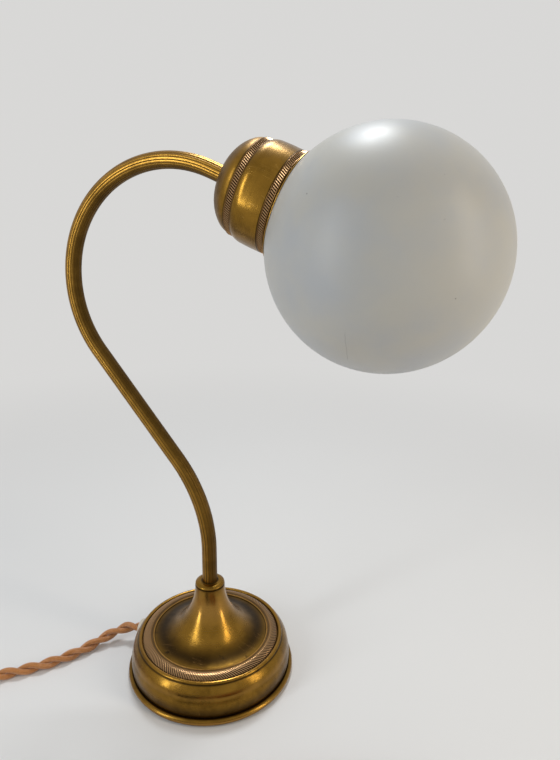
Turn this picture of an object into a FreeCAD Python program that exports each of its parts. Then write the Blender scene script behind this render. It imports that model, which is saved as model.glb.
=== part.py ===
import FreeCAD
import Part
import math
import os

# Glass globe table lamp, in millimetres.
# The origin is the middle of the underside of the felt, +Z is up and +X points at the globe.
# The neck, the gallery and the globe lie in the XZ plane.

Vector = FreeCAD.Vector
X_AXIS = Vector(1, 0, 0)
Y_AXIS = Vector(0, 1, 0)
Z_AXIS = Vector(0, 0, 1)
ORIGIN = Vector(0, 0, 0)

# Fits between pieces
slip_fit = 0.05
gap = 0.3
cutter_overrun = 1.0

# Neck: a riser, a gentle bend backwards, a straight lean and a crown over to the gallery
tube_r = 5.0
reed_depth = 0.28
reed_count = 20
thread_r = 4.9
tube_bore_r = 4.05
riser_height = 92.0
lower_bend_r = 100.0
lean = math.radians(39.0)
lean_length = 86.0
crown_r = 72.0
gallery_tilt = math.radians(21.7)
gallery_reach = 10.7

# Base shell, from the floor up
felt_r = 52.6
felt_t = 1.6
plate_t = 1.2
shell_t = 1.1
rim_r = 57.4
rim_bead_r = 2.2
rim_lift = 0.8
wall_foot_r = 54.3
wall_belly_r = 55.0
wall_belly_z = 11.0
wall_top_r = 54.0
wall_top_z = 17.5
shoulder_r = 52.6
shoulder_z = 22.6
bead_r = 1.5
bead_mid_r = 48.3
bead_mid_z = 26.4
ring_seat_z = 25.2
ring_outer_r = 46.6
ring_inner_r = 39.8
ledge_r = 38.8
ledge_h = 3.8
ledge_step = 0.6
dish_curve_r = 27.6
throat_curve_r = 42.0
throat_r = 10.0

# Milled ring of the base
base_ring_h = 4.1
base_ring_side_h = 1.8
base_band_inner_r = 41.8
base_tooth_count = 168
base_tooth_depth = 0.3
base_tooth_slant = 2.2
base_band_fullness = 0.75

# Collar at the foot of the neck
collar_r = 10.4
collar_h = 5.2
collar_foot_h = 0.9
collar_groove = 0.7
collar_groove_h = 0.5

# Cast iron weight and what hangs on it
weight_r = 50.0
weight_bottom = 4.4
weight_t = 12.0
rib_inner_r = 40.6
rib_outer_r = 45.8
hub_r = 16.0
hub_t = 5.2
hub_roof_t = 4.0
recess_r = 13.0
screw_circle_r = 43.0
screw_count = 3
screw_r = 1.7
screw_head_r = 3.0
screw_length = 9.0
boss_r = 5.0

# Tail fixings of the neck, an M10 nut and its washer
washer_r = 10.0
washer_t = 1.3
nut_flats = 14.0
nut_t = 4.0
tail_below_nut = 0.8

# Flex: two cores, twisted outside the lamp and side by side inside it
core_r = 1.9
cord_r = 3.8
slot_w = 9.0
slot_h = 5.5
notch_w = 11.0
notch_reach = 27.0
flex_bend_r = 5.0
flex_rise_start = 24.0
flex_rise_end = 43.0
clamp_length = 24.0
clamp_width = 7.0
clamp_t = 1.4
clamp_x = -19.0
clamp_screw_y = 8.5
clamp_screw_r = 1.4
clamp_screw_head_r = 2.6
clamp_screw_length = 9.0

# Bush in the wall, opposite the globe
bush_z = 13.0
bush_flange_r = 6.3
bush_flange_t = 2.6
bush_body_r = 4.9
bush_bore_r = 3.9
bush_edge = 0.9
bush_grip = 2.5
bush_length = 4.6
bush_barb = 0.45

# Gallery, along its axis from the mouth backwards
globe_r = 63.5
globe_t = 2.6
lip_r = 31.3
lip_length = 1.9
lip_t = 0.8
lip_edge_t = 0.5
lip_fullness = 0.62
lip_hollow = 0.1
lip_sleeve = 4.5
ring_width = 4.0
belly_length = 17.0
belly_r = 29.5
belly_end_r = 28.9
drum_t = 0.9
drum_set_back = 0.5
seat_r = 27.7
gallery_ring_r = 28.9
ring_bead_w = 0.75
gallery_tooth_count = 132
gallery_tooth_depth = 0.3
gallery_tooth_slant = 0.9
gallery_tooth_drop = 0.1
dome_r = 28.2
dome_h = 14.3
dome_edge_r = 9.0
dome_flat_r = 8.0
skirt_length = 6.3

# Glass neck and the spring ring that grips it
glass_neck_r = 25.3
glass_neck_t = 2.3
glass_neck_length = 16.0
glass_shoulder_r = 1.5
spring_t = 0.4
spring_band = 5.0
finger_count = 3
finger_w = 5.0
finger_out = 1.1
finger_step = 3.6
finger_root = 0.4

# Lampholder and bulb, small Edison size
gallery_washer_r = 7.6
gallery_washer_t = 1.2
gallery_nut_flats = 13.0
gallery_nut_t = 3.6
holder_r = 14.0
holder_cap_h = 9.0
holder_cap_t = 1.6
holder_neck_r = 8.0
holder_body_h = 25.0
holder_shell_r = 7.7
holder_shell_t = 0.5
holder_shell_h = 17.5
holder_floor = 18.5
holder_mouth_in = 1.8
holder_mouth_taper = 4.0
contact_r = 3.2
contact_t = 0.6
bulb_cap_r = 6.9
bulb_cap_h = 18.0
bulb_foot_h = 3.0
bulb_tip_r = 2.4
bulb_tip_h = 1.6
bulb_tip_rim = 0.6
bulb_thread_depth = 0.5
bulb_neck_r = 8.0
bulb_neck_hollow = 0.8
bulb_joint_r = 15.0
bulb_joint_h = 22.0
bulb_r = 17.5
bulb_belly_h = 36.0
bulb_taper_r = 9.6
bulb_taper_h = 61.0
bulb_point_r = 4.8
bulb_point_h = 70.6
bulb_nib_r = 1.2
bulb_length = 75.0

# Inline rocker switch
switch_l = 58.0
switch_w = 23.0
switch_low_h = 8.0
switch_high_h = 7.5
switch_waist = 11.0
switch_edge = 1.5
rocker_l = 17.0
rocker_w = 8.0
rocker_end_rise = 1.7
rocker_dip_rise = 0.7
rocker_keel = 3.0
rocker_room = 0.8
rocker_throw = 9.0
rocker_pin_r = 1.0
rocker_pin_drop = 2.0
rocker_pin_seat = 2.0
pocket_floor = 1.3
switch_screw_x = 20.0
switch_screw_r = 1.2
switch_screw_head_r = 2.4
switch_screw_head_h = 1.3
switch_screw_l = 11.0
switch_screw_sink = 0.4

# Two-pin plug
plug_l = 35.5
plug_w = 35.3
plug_shoulder = 12.0
plug_tail_w = 11.0
plug_h = 13.7
plug_edge = 1.6
plug_pin_r = 2.0
plug_pin_edge = 1.2
plug_pin_l = 19.0
plug_pin_root = 8.0
plug_pin_pitch = 18.6

# Route of the free flex over the floor, and the heading on which it enters switch and coil
floor_z = cord_r
heading = Vector(0.9976, -0.0698, 0).normalize()
route_to_switch = [
    (-64.2, 0.0, 13.0), (-70.5, -2.2, 12.2), (-76.2, -6.6, 10.2), (-81.2, -12.6, 7.4), (-86.0, -20.4, 4.8),
    (-91.2, -29.6, floor_z), (-98.4, -40.2, floor_z), (-107.4, -50.8, floor_z), (-118.2, -60.4, floor_z),
    (-129.4, -69.8, floor_z), (-140.1, -81.9, floor_z), (-146.9, -98.2, floor_z), (-148.3, -117.0, floor_z),
    (-142.6, -135.2, floor_z), (-130.0, -149.6, floor_z), (-112.6, -158.8, floor_z), (-92.4, -161.6, floor_z),
    (-71.0, -160.2, floor_z), (-50.5, -161.0, 4.2), (-29.5, -163.6, 6.2),
]
switch_mouth = Vector(3.0, -166.5, switch_low_h)
switch_lead = 12.0
run_to_coil = 34.0
run_to_coil_bends = (10.0, 23.0)
run_to_plug = 58.0
run_to_plug_bends = (14.0, 29.0, 46.0)

# Put-away coil: flat spirals of half turns, in on the floor and out again on top
coil_outer_r = 50.0
coil_pitch = 8.4
coil_half_turns = 5
coil_climb = 8.2
coil_lead = 8.0
coil_run_out = math.radians(34.0)


# Drawing helpers

def vec(x, y, z):
    return Vector(x, y, z)


def line(a, b):
    return Part.LineSegment(a, b).toShape()


def arc(a, middle, b):
    return Part.Arc(a, middle, b).toShape()


class Outline:
    """A closed half section in the XZ plane, spun round the Z axis."""

    def __init__(self, r, z):
        self.first = vec(r, 0, z)
        self.last = self.first
        self.edges = []

    def to(self, r, z):
        end = vec(r, 0, z)
        self.edges.append(line(self.last, end))
        self.last = end
        return self

    def arc(self, middle, end):
        stop = vec(end[0], 0, end[1])
        self.edges.append(arc(self.last, vec(middle[0], 0, middle[1]), stop))
        self.last = stop
        return self

    def spin(self):
        if (self.last - self.first).Length > 1e-6:
            self.to(self.first.x, self.first.z)
        face = Part.Face(Part.Wire(self.edges))
        return face.revolve(ORIGIN, Z_AXIS, 360)


def cylinder(radius, z0, z1, x=0.0, y=0.0):
    return Part.makeCylinder(radius, z1 - z0, vec(x, y, z0))


def ring(outer, inner, z0, z1):
    return cylinder(outer, z0, z1).cut(cylinder(inner, z0, z1))


def hexagon(flats, bore, z0, z1):
    corner = flats / 2 / math.cos(math.pi / 6)
    points = []
    for k in range(7):
        a = math.pi / 3 * k
        points.append(vec(corner * math.cos(a), corner * math.sin(a), z0))
    block = Part.Face(Part.makePolygon(points)).extrude(vec(0, 0, z1 - z0))
    return block.cut(cylinder(bore, z0, z1))


def countersunk(head_r, shank_r, head_h, length, place):
    head = Part.makeCone(head_r, shank_r, head_h, place)
    shank = Part.makeCylinder(shank_r, length, place)
    return head.fuse(shank).removeSplitter()


def drift(sideways, length):
    """Middle of an arc that sets off straight and ends so far sideways and ahead."""
    radius = (sideways ** 2 + length ** 2) / (2 * sideways)
    half = math.atan2(length, radius - sideways) / 2
    return radius * (1 - math.cos(half)), radius * math.sin(half)


def edges_at(shape, z):
    """The edges that lie flat at one height."""
    found = []
    for edge in shape.Edges:
        box = edge.BoundBox
        if abs(box.ZMin - z) < 1e-4 and abs(box.ZMax - z) < 1e-4:
            found.append(edge)
    return found


def star(count, crest, root, z, turn):
    """A closed toothed outline, crests and roots in turn round a circle."""
    points = []
    for k in range(2 * count):
        a = turn + math.pi * k / count
        radius = crest if k % 2 == 0 else root
        points.append(vec(radius * math.cos(a), radius * math.sin(a), z))
    points.append(points[0])
    return Part.makePolygon(points)


def milled_loft(count, slant, levels):
    """A solid whose teeth slant by so many tooth pitches from the first level to the last."""
    wires = []
    for k, (crest, root, z) in enumerate(levels):
        turn = slant * 2 * math.pi / count * k / (len(levels) - 1)
        wires.append(star(count, crest, root, z, turn))
    return Part.makeLoft(wires, True, True)


def sweep(path, profile):
    pipe = Part.BRepOffsetAPI.MakePipeShell(path)
    pipe.add(profile)
    pipe.build()
    pipe.makeSolid()
    return pipe.shape()


def round_wire(centre, direction, radius):
    return Part.Wire(Part.makeCircle(radius, centre, direction))


def save(name, shape):
    for solid in shape.Solids:
        if not solid.isValid():
            print("not valid:", name)
    shape.exportStep("parts/" + name + ".step")
    volume = sum(solid.Volume for solid in shape.Solids)
    print("%-20s solids %d, volume %.1f mm3" % (name, len(shape.Solids), volume))


# Stations along the gallery axis, counted backwards from the globe's centre

mouth_q = math.sqrt((globe_r + gap) ** 2 - lip_r ** 2)
front_ring_q = mouth_q + lip_length
belly_q = front_ring_q + ring_width
rear_ring_q = belly_q + belly_length
dome_q = rear_ring_q + ring_width
apex_q = dome_q + dome_h
gallery_washer_q = apex_q - drum_t - gallery_washer_t
gallery_nut_q = gallery_washer_q - gallery_nut_t
holder_top_q = gallery_nut_q
holder_joint_q = holder_top_q - holder_cap_h
holder_mouth_q = holder_joint_q - holder_body_h
tube_end_q = holder_joint_q + holder_cap_h / 2
bulb_seat_q = holder_mouth_q + holder_floor - contact_t - slip_fit
bulb_cap_q = bulb_seat_q - bulb_tip_h - bulb_foot_h - bulb_cap_h
bulb_joint_q = bulb_cap_q - bulb_joint_h
shoulder_centre_q = math.sqrt((globe_r + glass_shoulder_r) ** 2 - (glass_neck_r + glass_shoulder_r) ** 2)
glass_end_q = shoulder_centre_q + glass_neck_length
skirt_r = seat_r - drum_t - slip_fit
skirt_end_q = dome_q - skirt_length

# Stations up the base

plate_top_z = felt_t + plate_t
weight_top = weight_bottom + weight_t
hub_top_z = weight_top + hub_t
recess_roof_z = hub_top_z - hub_roof_t
tail_washer_z = recess_roof_z - washer_t
tail_nut_z = tail_washer_z - nut_t
tail_z = tail_nut_z - tail_below_nut
flex_floor_z = weight_bottom + core_r
ledge_z = ring_seat_z + ledge_h
dish_edge_z = ledge_z - ledge_step
bush_face_x = -wall_belly_r - bush_flange_t

# The trumpet: an upper arc that starts upright, then the dish's arc that runs out at the ledge

half_turn = math.radians(45)
dish_centre_r = throat_r + throat_curve_r * (1 - math.cos(half_turn)) + dish_curve_r * math.cos(half_turn)
dish_end_angle = math.asin(max(0.0, (dish_centre_r - ledge_r) / dish_curve_r))
dish_centre_z = dish_edge_z + dish_curve_r * math.cos(dish_end_angle)
throat_z = dish_centre_z - dish_curve_r * math.cos(half_turn) + throat_curve_r * math.sin(half_turn)
collar_top_z = throat_z + collar_h


def dish_point(angle, under=0.0):
    reach = dish_curve_r + under
    return dish_centre_r - reach * math.sin(angle), dish_centre_z - reach * math.cos(angle)


def throat_point(angle, under=0.0):
    reach = throat_curve_r + under
    return throat_r + throat_curve_r - reach * math.cos(angle), throat_z - reach * math.sin(angle)


# The neck's centreline

def neck_joints():
    """Ends of the neck's arcs and their middles, as points of the XZ plane."""
    joints = {}
    joints["riser"] = vec(0, 0, riser_height)
    for name, a in (("bend_mid", lean / 2), ("bend", lean)):
        joints[name] = vec(-lower_bend_r * (1 - math.cos(a)), 0, riser_height + lower_bend_r * math.sin(a))
    joints["lean"] = joints["bend"] + vec(-math.sin(lean), 0, math.cos(lean)) * lean_length
    centre = joints["lean"] + vec(math.cos(lean), 0, math.sin(lean)) * crown_r
    start = math.pi + lean
    stop = math.pi / 2 - gallery_tilt
    for name, a in (("crown_mid", (start + stop) / 2), ("crown", stop)):
        joints[name] = centre + vec(math.cos(a), 0, math.sin(a)) * crown_r
    return joints


neck = neck_joints()
axis_out = vec(math.cos(gallery_tilt), 0, -math.sin(gallery_tilt))
globe_centre = neck["crown"] + axis_out * (gallery_reach + apex_q)
gallery_turn = FreeCAD.Rotation(Y_AXIS, 90 + math.degrees(gallery_tilt))
gallery_place = FreeCAD.Placement(globe_centre, gallery_turn)


def on_axis(q):
    """The point of the gallery axis at a distance q behind the globe's centre."""
    return globe_centre - axis_out * q


def in_gallery(shape):
    """Moves a shape drawn about Z, with the globe's centre at the origin, to its place."""
    shape.Placement = gallery_place.multiply(shape.Placement)
    return shape


def neck_edges():
    """The neck's bent length, between the top of the riser and the end of the crown."""
    edges = [arc(neck["riser"], neck["bend_mid"], neck["bend"])]
    edges.append(line(neck["bend"], neck["lean"]))
    edges.append(arc(neck["lean"], neck["crown_mid"], neck["crown"]))
    return edges


def neck_path(z0, q_end):
    edges = [line(vec(0, 0, z0), neck["riser"])]
    edges.extend(neck_edges())
    edges.append(line(neck["crown"], on_axis(q_end)))
    return Part.Wire(edges)


# Base

def screw_places():
    places = []
    for k in range(screw_count):
        a = 2 * math.pi * k / screw_count
        places.append(vec(screw_circle_r * math.cos(a), screw_circle_r * math.sin(a), felt_t))
    return places


def base_felt():
    return cylinder(felt_r, 0, felt_t)


def base_plate():
    plate = cylinder(felt_r, felt_t, plate_top_z)
    for place in screw_places():
        plate = plate.cut(Part.makeCone(screw_head_r + slip_fit, screw_r + slip_fit, plate_t, place))
    return plate


def plate_screws():
    screws = []
    for place in screw_places():
        screws.append(countersunk(screw_head_r, screw_r, plate_t, screw_length, place))
    return Part.makeCompound(screws)


def shell_outside(o):
    """The visible face of the base shell, from the rolled rim to the middle of the top."""
    rim_mid_r = rim_r - rim_bead_r
    rim_mid_z = rim_lift + rim_bead_r
    foot_reach = rim_mid_r - wall_foot_r
    foot_z = rim_mid_z + math.sqrt(rim_bead_r ** 2 - foot_reach ** 2)
    o.arc((rim_r, rim_mid_z), (wall_foot_r, foot_z))
    o.arc((wall_belly_r, wall_belly_z), (wall_top_r, wall_top_z))
    o.arc((shoulder_r, shoulder_z), (bead_mid_r + bead_r, bead_mid_z))
    o.arc((bead_mid_r, bead_mid_z + bead_r), (bead_mid_r - bead_r, bead_mid_z))
    o.to(bead_mid_r - bead_r, ring_seat_z)
    o.to(ring_inner_r - slip_fit, ring_seat_z)
    o.to(ring_inner_r - slip_fit, ledge_z)
    o.to(ledge_r, ledge_z)
    o.to(ledge_r, dish_edge_z)
    o.arc(dish_point((dish_end_angle + half_turn) / 2), dish_point(half_turn))
    o.arc(throat_point(half_turn / 2), throat_point(0))


def shell_inside(o):
    """The hidden face, a sheet's thickness behind, from the top back to the rim."""
    top_angle = math.asin(shell_t / (throat_curve_r + shell_t))
    foot_r = wall_foot_r - shell_t
    o.to(throat_point(top_angle, shell_t)[0], throat_z - shell_t)
    o.arc(throat_point((top_angle + half_turn) / 2, shell_t), throat_point(half_turn, shell_t))
    o.arc(dish_point((dish_end_angle + half_turn) / 2, shell_t), dish_point(dish_end_angle, shell_t))
    o.to(dish_point(dish_end_angle, shell_t)[0], ring_seat_z - shell_t)
    o.to(bead_mid_r, ring_seat_z - shell_t)
    o.arc((shoulder_r - shell_t, shoulder_z - shell_t), (wall_top_r - shell_t, wall_top_z))
    o.to(foot_r, wall_belly_z)
    o.to(foot_r, rim_lift + rim_bead_r)


def base_shell():
    rim_mid_r = rim_r - rim_bead_r
    o = Outline(rim_mid_r, rim_lift)
    shell_outside(o)
    o.to(tube_r + gap, throat_z)
    o.to(tube_r + gap, throat_z - shell_t)
    shell_inside(o)
    shell = o.spin()
    through = wall_belly_r - weight_r + shell_t
    return shell.cut(Part.makeCylinder(bush_body_r + slip_fit, through, vec(-weight_r, 0, bush_z), -X_AXIS))


def milled_base_ring():
    """Slanted teeth on the outer part of a crowned band, smooth further in."""
    top = ring_seat_z + base_ring_h
    side = ring_seat_z + base_ring_side_h
    outer = ring_outer_r - slip_fit
    depth = base_tooth_depth
    middle_r = (outer + base_band_inner_r) / 2
    middle_z = side + (top - side) * base_band_fullness
    levels = [
        (outer - depth / 2, outer - depth, side),
        (middle_r + depth, middle_r - depth, middle_z),
        (base_band_inner_r, base_band_inner_r - depth, top),
    ]
    band = milled_loft(base_tooth_count, base_tooth_slant, levels)
    foot = cylinder(outer, ring_seat_z, side)
    return band.fuse(foot).cut(cylinder(ring_inner_r, ring_seat_z, top))


def neck_collar():
    bore = tube_r + slip_fit
    groove_z = throat_z + collar_foot_h
    bead_z = groove_z + collar_groove_h
    o = Outline(bore, throat_z)
    o.to(collar_r - collar_groove / 3, throat_z)
    o.to(collar_r - collar_groove / 3, groove_z)
    o.to(collar_r - collar_groove, groove_z)
    o.to(collar_r - collar_groove, bead_z)
    o.to(collar_r - collar_groove / 3, bead_z)
    o.arc((collar_r, (bead_z + collar_top_z) / 2), (collar_r - collar_groove, collar_top_z - collar_groove))
    o.to(bore, collar_top_z)
    return o.spin()


def slot_box(x0, x1, width, z0, z1):
    return Part.makeBox(x1 - x0, width, z1 - z0, vec(x0, -width / 2, z0))


def base_weight():
    rib_top = ring_seat_z - shell_t
    weight = cylinder(weight_r, weight_bottom, weight_top)
    weight = weight.fuse(ring(rib_outer_r, rib_inner_r, weight_top, rib_top))
    weight = weight.fuse(cylinder(hub_r, weight_top, hub_top_z))
    for place in screw_places():
        weight = weight.fuse(cylinder(boss_r, plate_top_z, weight_bottom, place.x, place.y))
    weight = weight.cut(cylinder(recess_r, weight_bottom, recess_roof_z))
    weight = weight.cut(cylinder(thread_r + gap, recess_roof_z, hub_top_z))
    weight = weight.cut(slot_box(-weight_r, 0, slot_w, weight_bottom, weight_bottom + slot_h))
    weight = weight.cut(slot_box(-weight_r, -notch_reach, notch_w, weight_bottom, rib_top))
    hole_top = felt_t + screw_length + gap
    for place in screw_places():
        weight = weight.cut(cylinder(screw_r + slip_fit, plate_top_z, hole_top, place.x, place.y))
    hole_top = weight_bottom - clamp_t + clamp_screw_length + gap
    for side in (-1, 1):
        y = side * clamp_screw_y
        weight = weight.cut(cylinder(clamp_screw_r + slip_fit, weight_bottom, hole_top, clamp_x, y))
    return weight.removeSplitter()


def tail_washer():
    return ring(washer_r, thread_r + slip_fit, tail_washer_z, recess_roof_z)


def tail_nut():
    return hexagon(nut_flats, thread_r + slip_fit, tail_nut_z, tail_washer_z)


def cord_clamp():
    z0 = weight_bottom - clamp_t
    corner = vec(clamp_x - clamp_width / 2, -clamp_length / 2, z0)
    strap = Part.makeBox(clamp_width, clamp_length, clamp_t, corner)
    for side in (-1, 1):
        place = vec(clamp_x, side * clamp_screw_y, z0)
        head_r = clamp_screw_head_r + slip_fit
        strap = strap.cut(Part.makeCone(head_r, clamp_screw_r + slip_fit, clamp_t, place))
    return strap


def clamp_screws():
    screws = []
    for side in (-1, 1):
        place = vec(clamp_x, side * clamp_screw_y, weight_bottom - clamp_t)
        screws.append(countersunk(clamp_screw_head_r, clamp_screw_r, clamp_t, clamp_screw_length, place))
    return Part.makeCompound(screws)


def cord_bush():
    """A snap-in bush: flange outside the wall, body through it, barb behind it."""
    flange = bush_flange_t
    barb = flange + bush_grip
    corner = bush_edge * (1 - math.sin(half_turn))
    o = Outline(bush_bore_r, 0)
    o.to(bush_flange_r - bush_edge, 0)
    o.arc((bush_flange_r - corner, corner), (bush_flange_r, bush_edge))
    o.to(bush_flange_r, flange)
    o.to(bush_body_r, flange)
    o.to(bush_body_r, barb)
    o.to(bush_body_r + bush_barb, barb)
    o.to(bush_body_r - bush_barb, flange + bush_length)
    o.to(bush_bore_r, flange + bush_length)
    bush = o.spin()
    bush.Placement = FreeCAD.Placement(vec(bush_face_x, 0, bush_z), FreeCAD.Rotation(Y_AXIS, 90))
    return bush


# Neck

def reeded_wire(centre):
    """Reeds side by side round the tube, each a convex arc between two valleys."""
    valley_r = tube_r - reed_depth
    edges = []
    for k in range(reed_count):
        a0 = 2 * math.pi * k / reed_count
        a1 = 2 * math.pi * (k + 1) / reed_count
        am = (a0 + a1) / 2
        start = centre + vec(valley_r * math.cos(a0), valley_r * math.sin(a0), 0)
        crest = centre + vec(tube_r * math.cos(am), tube_r * math.sin(am), 0)
        stop = centre + vec(valley_r * math.cos(a1), valley_r * math.sin(a1), 0)
        edges.append(arc(start, crest, stop))
    return Part.Wire(edges)


def swan_neck():
    reed_z = throat_z + gap
    reed_q = apex_q - gap
    reeded = sweep(neck_path(reed_z, reed_q), reeded_wire(vec(0, 0, reed_z)))
    tail = cylinder(thread_r, tail_z, reed_z)
    head = Part.makeCylinder(thread_r, reed_q - tube_end_q, on_axis(reed_q), axis_out)
    bore_z = tail_z - cutter_overrun
    bore_wire = round_wire(vec(0, 0, bore_z), Z_AXIS, tube_bore_r)
    bore = sweep(neck_path(bore_z, tube_end_q - cutter_overrun), bore_wire)
    return reeded.fuse([tail, head]).cut(bore)


def flex_path():
    """From the bush, down into the slot of the weight, up the neck and into the lampholder."""
    start = vec(bush_face_x, 0, bush_z)
    high = vec(-flex_rise_end, 0, bush_z)
    low = vec(-flex_rise_start, 0, flex_floor_z)
    corner = vec(0, 0, flex_floor_z)
    top = vec(0, 0, flex_floor_z + 2 * flex_bend_r)
    edges = rounded_route([start, high, low, corner, top], {3: flex_bend_r})
    edges.append(line(top, neck["riser"]))
    edges.extend(neck_edges())
    edges.append(line(neck["crown"], on_axis(holder_joint_q + gap)))
    return Part.Wire(edges)


def inner_flex():
    path = flex_path()
    core = sweep(path, round_wire(vec(bush_face_x, 0, bush_z), X_AXIS, core_r))
    pair = []
    for side in (-1, 1):
        one = core.copy()
        one.translate(vec(0, side * (core_r + slip_fit / 2), 0))
        pair.append(one)
    return Part.makeCompound(pair)


# Gallery

def dome_numbers():
    """Radius of the dome's crown and the angle where it hands over to the rounded edge."""
    reach = dome_r - dome_edge_r - dome_flat_r
    crown = (reach ** 2 + dome_h ** 2 - dome_edge_r ** 2) / (2 * (dome_h - dome_edge_r))
    join = math.atan2(reach, crown - dome_h)
    return crown, join


def dome_at(centre_r, centre_q, radius, angle):
    return centre_r + radius * math.sin(angle), -(centre_q + radius * math.cos(angle))


def gallery_cap():
    crown, join = dome_numbers()
    edge_centre_r = dome_r - dome_edge_r
    crown_q = apex_q - crown
    skirt_in = skirt_r - drum_t
    edge_in = dome_edge_r - drum_t
    skirt_angle = math.asin((skirt_in - edge_centre_r) / edge_in)
    bore = tube_r + slip_fit
    o = Outline(bore, -apex_q)
    o.to(dome_flat_r, -apex_q)
    o.arc(dome_at(dome_flat_r, crown_q, crown, join / 2), dome_at(dome_flat_r, crown_q, crown, join))
    o.arc(dome_at(edge_centre_r, dome_q, dome_edge_r, (join + math.pi / 2) / 2), (dome_r, -dome_q))
    o.to(skirt_r, -dome_q)
    o.to(skirt_r, -skirt_end_q)
    o.to(skirt_in, -skirt_end_q)
    turn_in = dome_at(edge_centre_r, dome_q, edge_in, skirt_angle)
    o.to(turn_in[0], turn_in[1])
    inner_join = dome_at(dome_flat_r, crown_q, crown - drum_t, join)
    o.arc(dome_at(edge_centre_r, dome_q, edge_in, (skirt_angle + join) / 2), inner_join)
    o.arc(dome_at(dome_flat_r, crown_q, crown - drum_t, join / 2), (dome_flat_r, -(apex_q - drum_t)))
    o.to(bore, -(apex_q - drum_t))
    return in_gallery(o.spin())


def gallery_drum():
    inner = seat_r - drum_t
    middle_q = (belly_q + rear_ring_q) / 2
    o = Outline(inner, -dome_q)
    o.to(seat_r, -dome_q)
    o.to(seat_r, -rear_ring_q)
    o.to(belly_end_r, -rear_ring_q)
    o.arc((belly_r, -middle_q), (belly_end_r, -belly_q))
    o.to(seat_r, -belly_q)
    o.to(seat_r, -(front_ring_q + drum_set_back))
    o.to(inner, -(front_ring_q + drum_set_back))
    o.to(inner, -(belly_q + drum_t))
    o.to(belly_end_r - drum_t, -(belly_q + drum_t))
    o.arc((belly_r - drum_t, -middle_q), (belly_end_r - drum_t, -(rear_ring_q - drum_t)))
    o.to(inner, -(rear_ring_q - drum_t))
    return in_gallery(o.spin())


def milled_gallery_ring(q):
    """Two half-round edges with a band of fine slanted teeth between them."""
    bore = seat_r + slip_fit
    edge_r = gallery_ring_r - ring_bead_w / 2
    crest = gallery_ring_r - gallery_tooth_drop
    root = crest - gallery_tooth_depth
    floor = root - slip_fit
    band_end = ring_width - ring_bead_w
    o = Outline(bore, 0)
    o.to(edge_r, 0)
    o.arc((gallery_ring_r, ring_bead_w / 2), (edge_r, ring_bead_w))
    o.to(floor, ring_bead_w)
    o.to(floor, band_end)
    o.to(edge_r, band_end)
    o.arc((gallery_ring_r, ring_width - ring_bead_w / 2), (edge_r, ring_width))
    o.to(bore, ring_width)
    levels = [(crest, root, ring_bead_w), (crest, root, band_end)]
    teeth = milled_loft(gallery_tooth_count, gallery_tooth_slant, levels)
    teeth = teeth.cut(cylinder(floor - slip_fit, ring_bead_w, band_end))
    body = o.spin().fuse(teeth)
    body.translate(vec(0, 0, -q))
    return in_gallery(body)


def gallery_lip():
    sleeve_in = skirt_r - lip_t
    seat = globe_r + gap
    sleeve_q = front_ring_q + lip_sleeve
    inner_q = math.sqrt(seat ** 2 - sleeve_in ** 2)
    middle_r = (sleeve_in + lip_r) / 2
    middle_q = math.sqrt(seat ** 2 - middle_r ** 2)
    o = Outline(sleeve_in, -sleeve_q)
    o.to(skirt_r, -sleeve_q)
    o.to(skirt_r, -front_ring_q)
    o.to(gallery_ring_r - ring_bead_w, -front_ring_q)
    flare_r = (gallery_ring_r - ring_bead_w + lip_r) / 2
    o.arc((flare_r - lip_hollow, -(mouth_q + lip_length * lip_fullness)), (lip_r, -(mouth_q + lip_edge_t)))
    o.to(lip_r, -mouth_q)
    o.arc((middle_r, -middle_q), (sleeve_in, -inner_q))
    return in_gallery(o.spin())


def globe():
    """Opal glass: a sphere, a small rounded shoulder and a straight neck that is open at its end."""
    inner = globe_r - globe_t
    bore = glass_neck_r - glass_neck_t
    shoulder_r_centre = glass_neck_r + glass_shoulder_r
    share = globe_r / (globe_r + glass_shoulder_r)
    touch = (shoulder_r_centre * share, -shoulder_centre_q * share)
    a = (math.pi + math.atan2(shoulder_centre_q, shoulder_r_centre)) / 2
    mid_r = shoulder_r_centre + glass_shoulder_r * math.cos(a)
    mid_q = shoulder_centre_q - glass_shoulder_r * math.sin(a)
    bore_q = math.sqrt(inner ** 2 - bore ** 2)
    o = Outline(0, globe_r)
    o.arc((globe_r, 0), touch)
    o.arc((mid_r, -mid_q), (glass_neck_r, -shoulder_centre_q))
    o.to(glass_neck_r, -glass_end_q)
    o.to(bore, -glass_end_q)
    o.to(bore, -bore_q)
    o.arc((inner, 0), (0, inner))
    return in_gallery(o.spin())


def globe_spring():
    """A band inside the cap's skirt with fingers that bear on the glass neck."""
    band_out = skirt_r - drum_t - slip_fit
    band_in = band_out - spring_t
    q0 = skirt_end_q
    rub = glass_neck_r + slip_fit
    body = ring(band_out, band_in, -(q0 + spring_band), -q0)
    root = band_in - spring_t / 2 - slip_fit
    profile = [
        (root, q0 + finger_root), (root + finger_out, q0 - finger_step), (rub, q0 - 2 * finger_step),
        (rub + finger_out, q0 - 3 * finger_step),
    ]
    points = [vec(r, 0, -q) for r, q in profile]
    points += [vec(r + spring_t, 0, -q) for r, q in reversed(profile)]
    points.append(points[0])
    finger = Part.Face(Part.makePolygon(points)).extrude(vec(0, finger_w, 0))
    finger.translate(vec(0, -finger_w / 2, 0))
    for k in range(finger_count):
        one = finger.copy()
        one.rotate(ORIGIN, Z_AXIS, 360.0 / finger_count * k)
        body = body.fuse(one)
    return in_gallery(body)


def gallery_washer():
    return in_gallery(ring(gallery_washer_r, thread_r + slip_fit, -(apex_q - drum_t), -gallery_washer_q))


def gallery_nut():
    return in_gallery(hexagon(gallery_nut_flats, thread_r + slip_fit, -gallery_washer_q, -gallery_nut_q))


# Lampholder and bulb

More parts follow.
